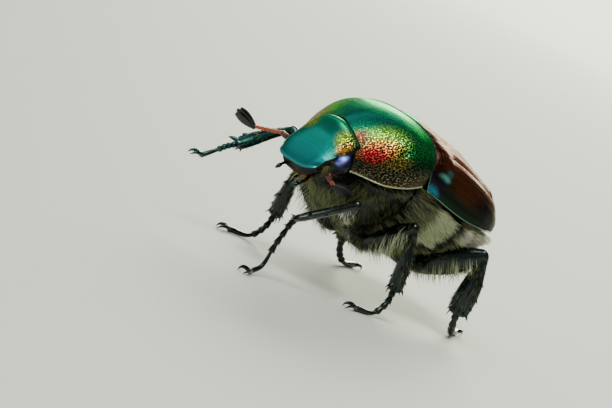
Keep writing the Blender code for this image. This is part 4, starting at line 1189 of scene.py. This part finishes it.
def buildFoot(leg, toeSize, ankle, toes, finish):
    f = toeShape
    ankleHigh = ankle @ bodyTurn.T + (0, 0, stance["height"])
    back = stance["height"] * math.sin(tipUp)
    points = [(x, y * math.cos(tipUp) - back, max(z - f["drop"], toeSize)) for x, y, z in toes]
    path, last = curvePoints([ankleHigh, *points], f["steps"]), f["steps"] - 1
    shapes, spines = [], []
    for start, end in zip(f["breaks"], f["breaks"][1:]):
        run = path[int(start * last):int(end * last) + (end == 1)]
        size = toeSize * evenly(f["flare"] if end < 1 else f["last"], len(run))
        shapes.append(sweep(run, size, size, (0.1, 0.1, 1), 16, 3))
        tip, down = run[-1], unit(run[-1] - run[-2])
        side = unit(np.cross(down, (0.05, 0.02, 1)))
        for out in (-side, side):
            spines.append(spike(tip + out * size[-1] * 0.7 - down * 0.03, down + out * 0.55, *f["spine"]))
    line = unit((path[-1] - path[-2]) * (1, 1, 0))
    across = np.array((-line[1], line[0], 0))
    for side, length in zip((1, -1), f["clawLengths"]):
        stops = [*f["clawLine"], (1.0, 0.17, f["clawTips"] - toeSize)]
        claw = curvePoints([path[-1] + line * length * share + across * side * aside + (0, 0, up)
                            for share, aside, up in stops], 20)
        shapes.append(sweep(claw, evenly(f["claw"], 20), evenly(f["clawThick"], 20), (0, 0, 1), 12, 2))
    for name, parts, material in (("joints", shapes, finish), ("spines", spines, finishes["spur"])):
        pieces = [(fromFloor(shapePoints), faces, lay) for shapePoints, faces, lay in parts]
        makePiece("tarsus_%s_%s" % (leg, name), joined(pieces), material,
                  ["tarsus_" + leg] if name == "joints" else ())


buildPronotum()
buildScutellum()
buildWingCase(left, "wing_case_left")
buildWingCase(right, "wing_case_right")
print("plates of the back ready")
buildTrunk()
buildPygidium()
print("trunk ready")
buildHead()
buildEye(left, "left")
buildEye(right, "right")
buildMouth()
for antennaName in antennaPoses:
    buildAntenna(antennaName)
print("head ready")
for legName in legPlan:
    buildLeg(legName)
print("legs ready")


# The coat: setae on the underside, legs, face and tail, each batch on its own tile of the bake map

setaeKinds = {  # lean is along the left side of the body, rise is away from the skin, sizes in mm
    name: dict(zip(("lean", "rise", "droop", "spread", "length", "radius"), values))
    for name, *values in (
        ("fleece", (0.05, 0.95, -0.3), 0.42, 0.3, 0.17, (0.32, 0.56), (0.009, 0.014)),
        ("breast", (0.0, 0.5, -0.75), 0.7, 0.3, 0.24, (0.22, 0.44), (0.006, 0.01)),
        ("silver", (0.0, 1.0, -0.38), 0.2, 0.1, 0.09, (0.5, 0.72), (0.011, 0.016)),
        ("belly", (0.1, 0.9, -0.2), 0.35, 0.2, 0.12, (0.24, 0.4), (0.009, 0.013)),
        ("ringRow", (0.15, 0.9, -0.35), 0.3, 0.15, 0.1, (0.36, 0.52), (0.011, 0.016)),
        ("tuft", (0.35, 0.7, -0.15), 0.6, 0.2, 0.16, (0.34, 0.5), (0.012, 0.018)),
        ("tailTuft", (0.15, 0.35, -0.6), 0.8, 0.25, 0.2, (0.34, 0.46), (0.012, 0.017)),
        ("tailFleece", (0.0, 0.3, -0.8), 0.3, 0.2, 0.15, (0.16, 0.28), (0.008, 0.011)),
        ("throat", (0.05, -0.25, -0.7), 0.8, 0.25, 0.28, (0.24, 0.5), (0.008, 0.012)),
        ("jaw", (0.0, -0.9, -0.5), 0.4, -0.2, 0.15, (0.2, 0.34), (0.009, 0.012)),
        ("limb", (0, 0, 0), 0.5, 0.15, 0.12, (0.16, 0.28), (0.008, 0.011)),
        ("fringe", (0.3, 0.4, -0.95), 0.35, 0.1, 0.07, (0.45, 0.74), (0.012, 0.017)),
    )
}


def growSetae(kindName, roots, normals, lean, spots, rng, scale=1.0):
    kind = setaeKinds[kindName]
    count = len(roots)
    lie = unit(lean - np.sum(lean * normals, axis=1, keepdims=True) * normals)
    away = normals * kind["rise"] + lie + rng.normal(0, kind["spread"], (count, 3))
    bend = lie * kind["droop"] - normals * abs(kind["droop"]) * 0.5
    lengths, radii = rng.uniform(*kind["length"], count), rng.uniform(*kind["radius"], count)
    return bristles(roots, away, bend, lengths * scale, radii, spots)


def leaning(kindName, side, roots):
    return np.broadcast_to(np.array(setaeKinds[kindName]["lean"]) * (side, 1, 1), roots.shape)


def patch(kindName, place, firstRange, secondRange, count, inside, tile, seed, side=left):
    rng = np.random.default_rng(seed)
    firsts, seconds = rng.uniform(*firstRange, count), rng.uniform(*secondRange, count)
    roots, normals, spots = sown(place, firsts, seconds, inside, tile, side)
    return growSetae(kindName, roots, normals, leaning(kindName, side, roots), spots, rng)


def limbSetae(kindName, leg, part, count, shares, turns, tile, seed):
    rng = np.random.default_rng(seed)
    pair, side = pairAndSide(leg)
    at, turn = rng.uniform(*shares, count), rng.normal(*turns, count)
    roots, normals, lean = onLimb(leg, part, at, turn * side)
    if any(setaeKinds[kindName]["lean"]):  # or else the setae lean along the limb
        lean = leaning(kindName, side, roots)
    spots = inTile(tile, [at, (turn / (2 * math.pi)) % 1])
    return growSetae(kindName, roots, normals, lean, spots, rng, legCoatScales[pair])


def tileOf(number, across):
    # one square of a bake map that is split evenly, with a margin round it
    row, column = divmod(number, across)
    return ((column + 0.04) / across, (row + 0.04) / across, (column + 0.96) / across, (row + 0.96) / across)


def onTrunk(part):
    return lambda y, angle: trunkPlace(part, y, angle)


tuftMiddles = (2.18, 2.78, 3.38, 3.96, 4.5)
trunkInside = {"prothorax": (0, -1.9, -0.3), "thorax": (0, 0.2, -0.6), "abdomen": (0, 3.0, -0.8)}
trunkCoats = {
    "prothorax_setae": {"part": "prothorax", "finish": "olive", "slot": "under_plate", "patches": (
        ("breast", (-3.3, -1.2), (-1.55, -0.12), 330), ("throat", (-3.38, -2.5), (-1.55, -0.35), 360))},
    "thorax_setae": {"part": "thorax", "finish": "hair", "slot": "under_plate", "patches": (
        ("fleece", (-1.22, 0.1), (-0.95, -0.12), 400), ("breast", (-1.2, 1.8), (-1.55, -0.85), 380),
        ("fleece", (0.1, 1.84), (-1.15, -0.75), 260))},
    "thorax_silver_setae": {"part": "thorax", "finish": "silver", "slot": "under_plate", "patches": (
        ("silver", (-0.05, 1.15), (-0.66, -0.18), 900),)},
    "abdomen_setae": {"part": "abdomen", "finish": "hair", "slot": "white_tufted_plate", "patches": (
        ("belly", (1.9, 4.8), (-1.5, -0.35), 520), ("silver", (1.86, 3.5), (-0.46, -0.14), 420))
        + tuple(("ringRow", (edge - 0.3, edge - 0.2), (-1.55, -0.5), 260) for edge in segmentEdges[1:])},
    "abdomen_white_tufts": {"part": "abdomen", "finish": "white", "slot": "white_tufted_plate",
                            "patches": tuple(
                                ("tuft", (middle - 0.14, middle + 0.14), (-0.44, -0.22), 230)
                                for middle in tuftMiddles)},
}


def growTrunkCoats():
    for name, plan in trunkCoats.items():
        part, batches = plan["part"], []
        across = math.ceil(math.sqrt(2 * len(plan["patches"])))
        for i, (kindName, firsts, seconds, count) in enumerate(plan["patches"]):
            for k, side in enumerate((left, right)):
                batches.append(patch(kindName, onTrunk(part), firsts, seconds, count, trunkInside[part],
                                     tileOf(2 * i + k, across), 40 + 7 * i + k, side))
        coat(name, batches, finishes[plan["finish"]])


tailInside = (0, 4.6, -1.0)
tailCoats = (  # name, kind, places along and round the tail, how many, finish, seed
    ("pygidium_white_tufts", "tailTuft", (5.0, 5.22), (0.75, 1.2), 300, "white", 5),
    ("pygidium_setae", "tailFleece", (4.95, 5.45), (-0.2, 1.5), 260, "hair", 15),
)


def growTailCoats():
    for name, kindName, ys, turns, count, finishName, seed in tailCoats:
        batches = [patch(kindName, pygidiumPlace, ys, turns, count, tailInside, tileOf(k, 2), seed + k, side)
                   for k, side in enumerate((left, right))]
        coat(name, batches, finishes[finishName])


headInside = byHead(0, 0.7, -0.6)
headCoats = (("throat", (0.2, 1.5), (-1.55, -0.25), 420, 60), ("limb", (0.7, 1.95), (-0.5, -0.05), 160, 70))
jawBristles = {"place": (0.34, 1.94, -0.84), "scatter": (0.08, 0.06, 0.06), "count": 90, "seed": 80,
               "tip": 0.5}


def growHeadCoats():
    batches = []
    for k, side in enumerate((left, right)):
        for i, (kindName, alongs, turns, count, seed) in enumerate(headCoats):
            batches.append(patch(kindName, headPlace, alongs, turns, count, headInside, tileOf(2 * k + i, 3),
                                 seed + k, side))
    coat("head_setae", batches, finishes["olive"])
    j, batches = jawBristles, []
    for k, side in enumerate((left, right)):
        rng = np.random.default_rng(j["seed"] + k)
        scatter = rng.normal(0, 1, (j["count"], 3)) * j["scatter"]
        roots = byHead(side * j["place"][0], *j["place"][1:]) + scatter
        normals = np.broadcast_to(unit(headLine - browLine * j["tip"]), roots.shape)
        spots = np.array(((k + 0.5) / 2, 0.5)) + rng.uniform(-0.2, 0.2, (j["count"], 2))
        batches.append(growSetae("jaw", roots, normals, headLine, spots, rng))
    coat("maxilla_bristles", batches, finishes["amber"])


legCoats = {  # limb, kind, how many, shares of its length, then the middle and spread of the angles round it
    "legs_pale_fringes": {"finish": "silver", "patches": (
        ("femur", "fringe", 46, (0.2, 0.9), (1.9, 0.3)), ("femur", "fringe", 50, (0.12, 0.95), (2.9, 0.3)))},
    "legs_short_setae": {"finish": "olive", "patches": (
        ("femur", "limb", 90, (0.1, 0.98), (0.0, 1.7)), ("tibia", "limb", 100, (0.1, 0.97), (0.0, 2.2)))},
}
legShares = {"front": 0.45, "mid": 1.0, "hind": 1.4}  # of the counts above
legCoatScales = {"front": 0.5, "mid": 1.0, "hind": 1.0}  # of the lengths


def growLegCoats():
    for name, plan in legCoats.items():
        batches = []
        for i, leg in enumerate(legPlan):
            for j, (part, kindName, count, shares, turns) in enumerate(plan["patches"]):
                count = int(count * legShares[pairAndSide(leg)[0]])
                batches.append(limbSetae(kindName, leg, part, count, shares, turns,
                                         tileOf(i * len(plan["patches"]) + j, 4), 100 + 10 * i + j))
        coat(name, batches, finishes[plan["finish"]])
    batches = []
    for i, leg in enumerate(legPlan):
        pair, side = pairAndSide(leg)
        centre, radii = (np.array(values) for values in legSizes[pair]["coxa"])

        def onCoxa(turn, height):
            return onBall(turn, height) * radii + centre
        batches.append(patch("breast", onCoxa, (-1.9, 1.6), (-1.3, 0.1), 170, centre, tileOf(i, 3), 200 + i,
                             side))
    coat("coxae_setae", batches, finishes["hair"])


growTrunkCoats()
growTailCoats()
growHeadCoats()
growLegCoats()
print("coat ready")


# Floor, light and camera

studio = {
    "floorRadius": 0.35, "rimRadius": 0.8, "rimHeight": 0.5, "bend": 12, "around": 96, "aim": (0, 0, 0.005),
    "floorColour": "#d6d6d2", "worldColour": "#dfe6ee", "worldStrength": 0.22,
}


def buildFloor():
    # a flat disc that curves up into a far wall
    s = studio
    profile = [(s["floorRadius"], 0.0)]
    for turn in np.linspace(0, math.pi / 2, s["bend"] + 1)[1:]:
        profile.append((s["floorRadius"] + (s["rimRadius"] - s["floorRadius"]) * math.sin(turn),
                        s["rimHeight"] * (1 - math.cos(turn))))
    points = [(0.0, 0.0, 0.0)]
    for radius, height in profile:
        points += [(radius * math.cos(a), radius * math.sin(a), height) for a in circle(s["around"])]
    faces = [(0, 1 + j, 1 + (j + 1) % s["around"]) for j in range(s["around"])]
    faces += [(a, d, c, b) for a, b, c, d in wrapFaces(len(profile), s["around"], start=1)]
    mesh = bpy.data.meshes.new("studio_floor")
    mesh.from_pydata(points, [], faces)
    mesh.shade_smooth()
    mesh.materials.append(plainFinish("matt painted floor", s["floorColour"], Roughness=0.7))
    floor = bpy.data.objects.new("studio_floor", mesh)
    bpy.context.scene.collection.objects.link(floor)


view = {  # fitted to the body's landmarks in the photograph, 612 by 408 pixels
    "azimuth": math.radians(39.14), "elevation": math.radians(4.58), "roll": math.radians(27.48),
    "distance": 100.0, "pixelsPerMm": 26.51, "bodyAt": (385.54, 176.29), "image": (612, 408), "sensor": 36.0,
}


def standing(thing, axes, place):
    matrix = np.eye(4)
    matrix[:3, :3], matrix[:3, 3] = axes, place
    thing.matrix_world = Matrix(matrix.tolist())
    bpy.context.scene.collection.objects.link(thing)


def addCamera():
    a, e, r = view["azimuth"], view["elevation"], view["roll"]
    back = np.array((math.sin(a) * math.cos(e), -math.cos(a) * math.cos(e), math.sin(e)))
    level = np.array((math.cos(a), math.sin(a), 0.0))
    rise = np.cross(back, level)
    across = math.cos(r) * level + math.sin(r) * rise
    up = -math.sin(r) * level + math.cos(r) * rise
    focal = view["pixelsPerMm"] * view["distance"]
    (bodyX, bodyY), (width, height) = view["bodyAt"], view["image"]
    looking = unit(-back * focal - across * (bodyX - width / 2) - up * (height / 2 - bodyY))
    toRight = unit(np.cross(looking, up))
    data = bpy.data.cameras.new("camera")
    data.sensor_width = view["sensor"]
    data.lens = focal / width * view["sensor"]
    data.clip_start = 0.005
    camera = bpy.data.objects.new("camera", data)
    axes = bodyTurn @ np.stack([toRight, np.cross(toRight, looking), -looking], axis=1)
    standing(camera, axes, toWorld(back * view["distance"]))
    bpy.context.scene.camera = camera


softboxes = {  # place and size in metres, power in watts, colour
    "top_softbox": ((0.09, -0.13, 0.42), (0.2, 0.2), 1.65, "#fffbea"),
    "back_softbox": ((-0.27, 0.4, 0.18), (0.25, 0.17), 2.7, "#f6ffde"),
    "sky_softbox": ((-0.31, -0.1, 0.38), (0.3, 0.3), 0.4, "#e6f6ff"),
    "eye_softbox": ((-0.014, -0.236, 0.322), (0.14, 0.08), 0.25, "#cfd6ff"),
}


def addLight(name, place, size, power, colour):
    data = bpy.data.lights.new(name, "AREA")
    data.shape = "RECTANGLE"
    data.size, data.size_y = size
    data.energy = power
    data.color = hexColour(colour)[:3]
    back = unit(np.array(place) - studio["aim"])
    side = unit(np.cross((0, 0, 1), back))
    standing(bpy.data.objects.new(name, data), np.stack([side, np.cross(back, side), back], axis=1), place)


buildFloor()
addCamera()
for lightName, plan in softboxes.items():
    addLight(lightName, *plan)
world = bpy.data.worlds.new("studio")
world.use_nodes = True
background = world.node_tree.nodes["Background"]
background.inputs["Color"].default_value = hexColour(studio["worldColour"])
background.inputs["Strength"].default_value = studio["worldStrength"]
bpy.context.scene.world = world
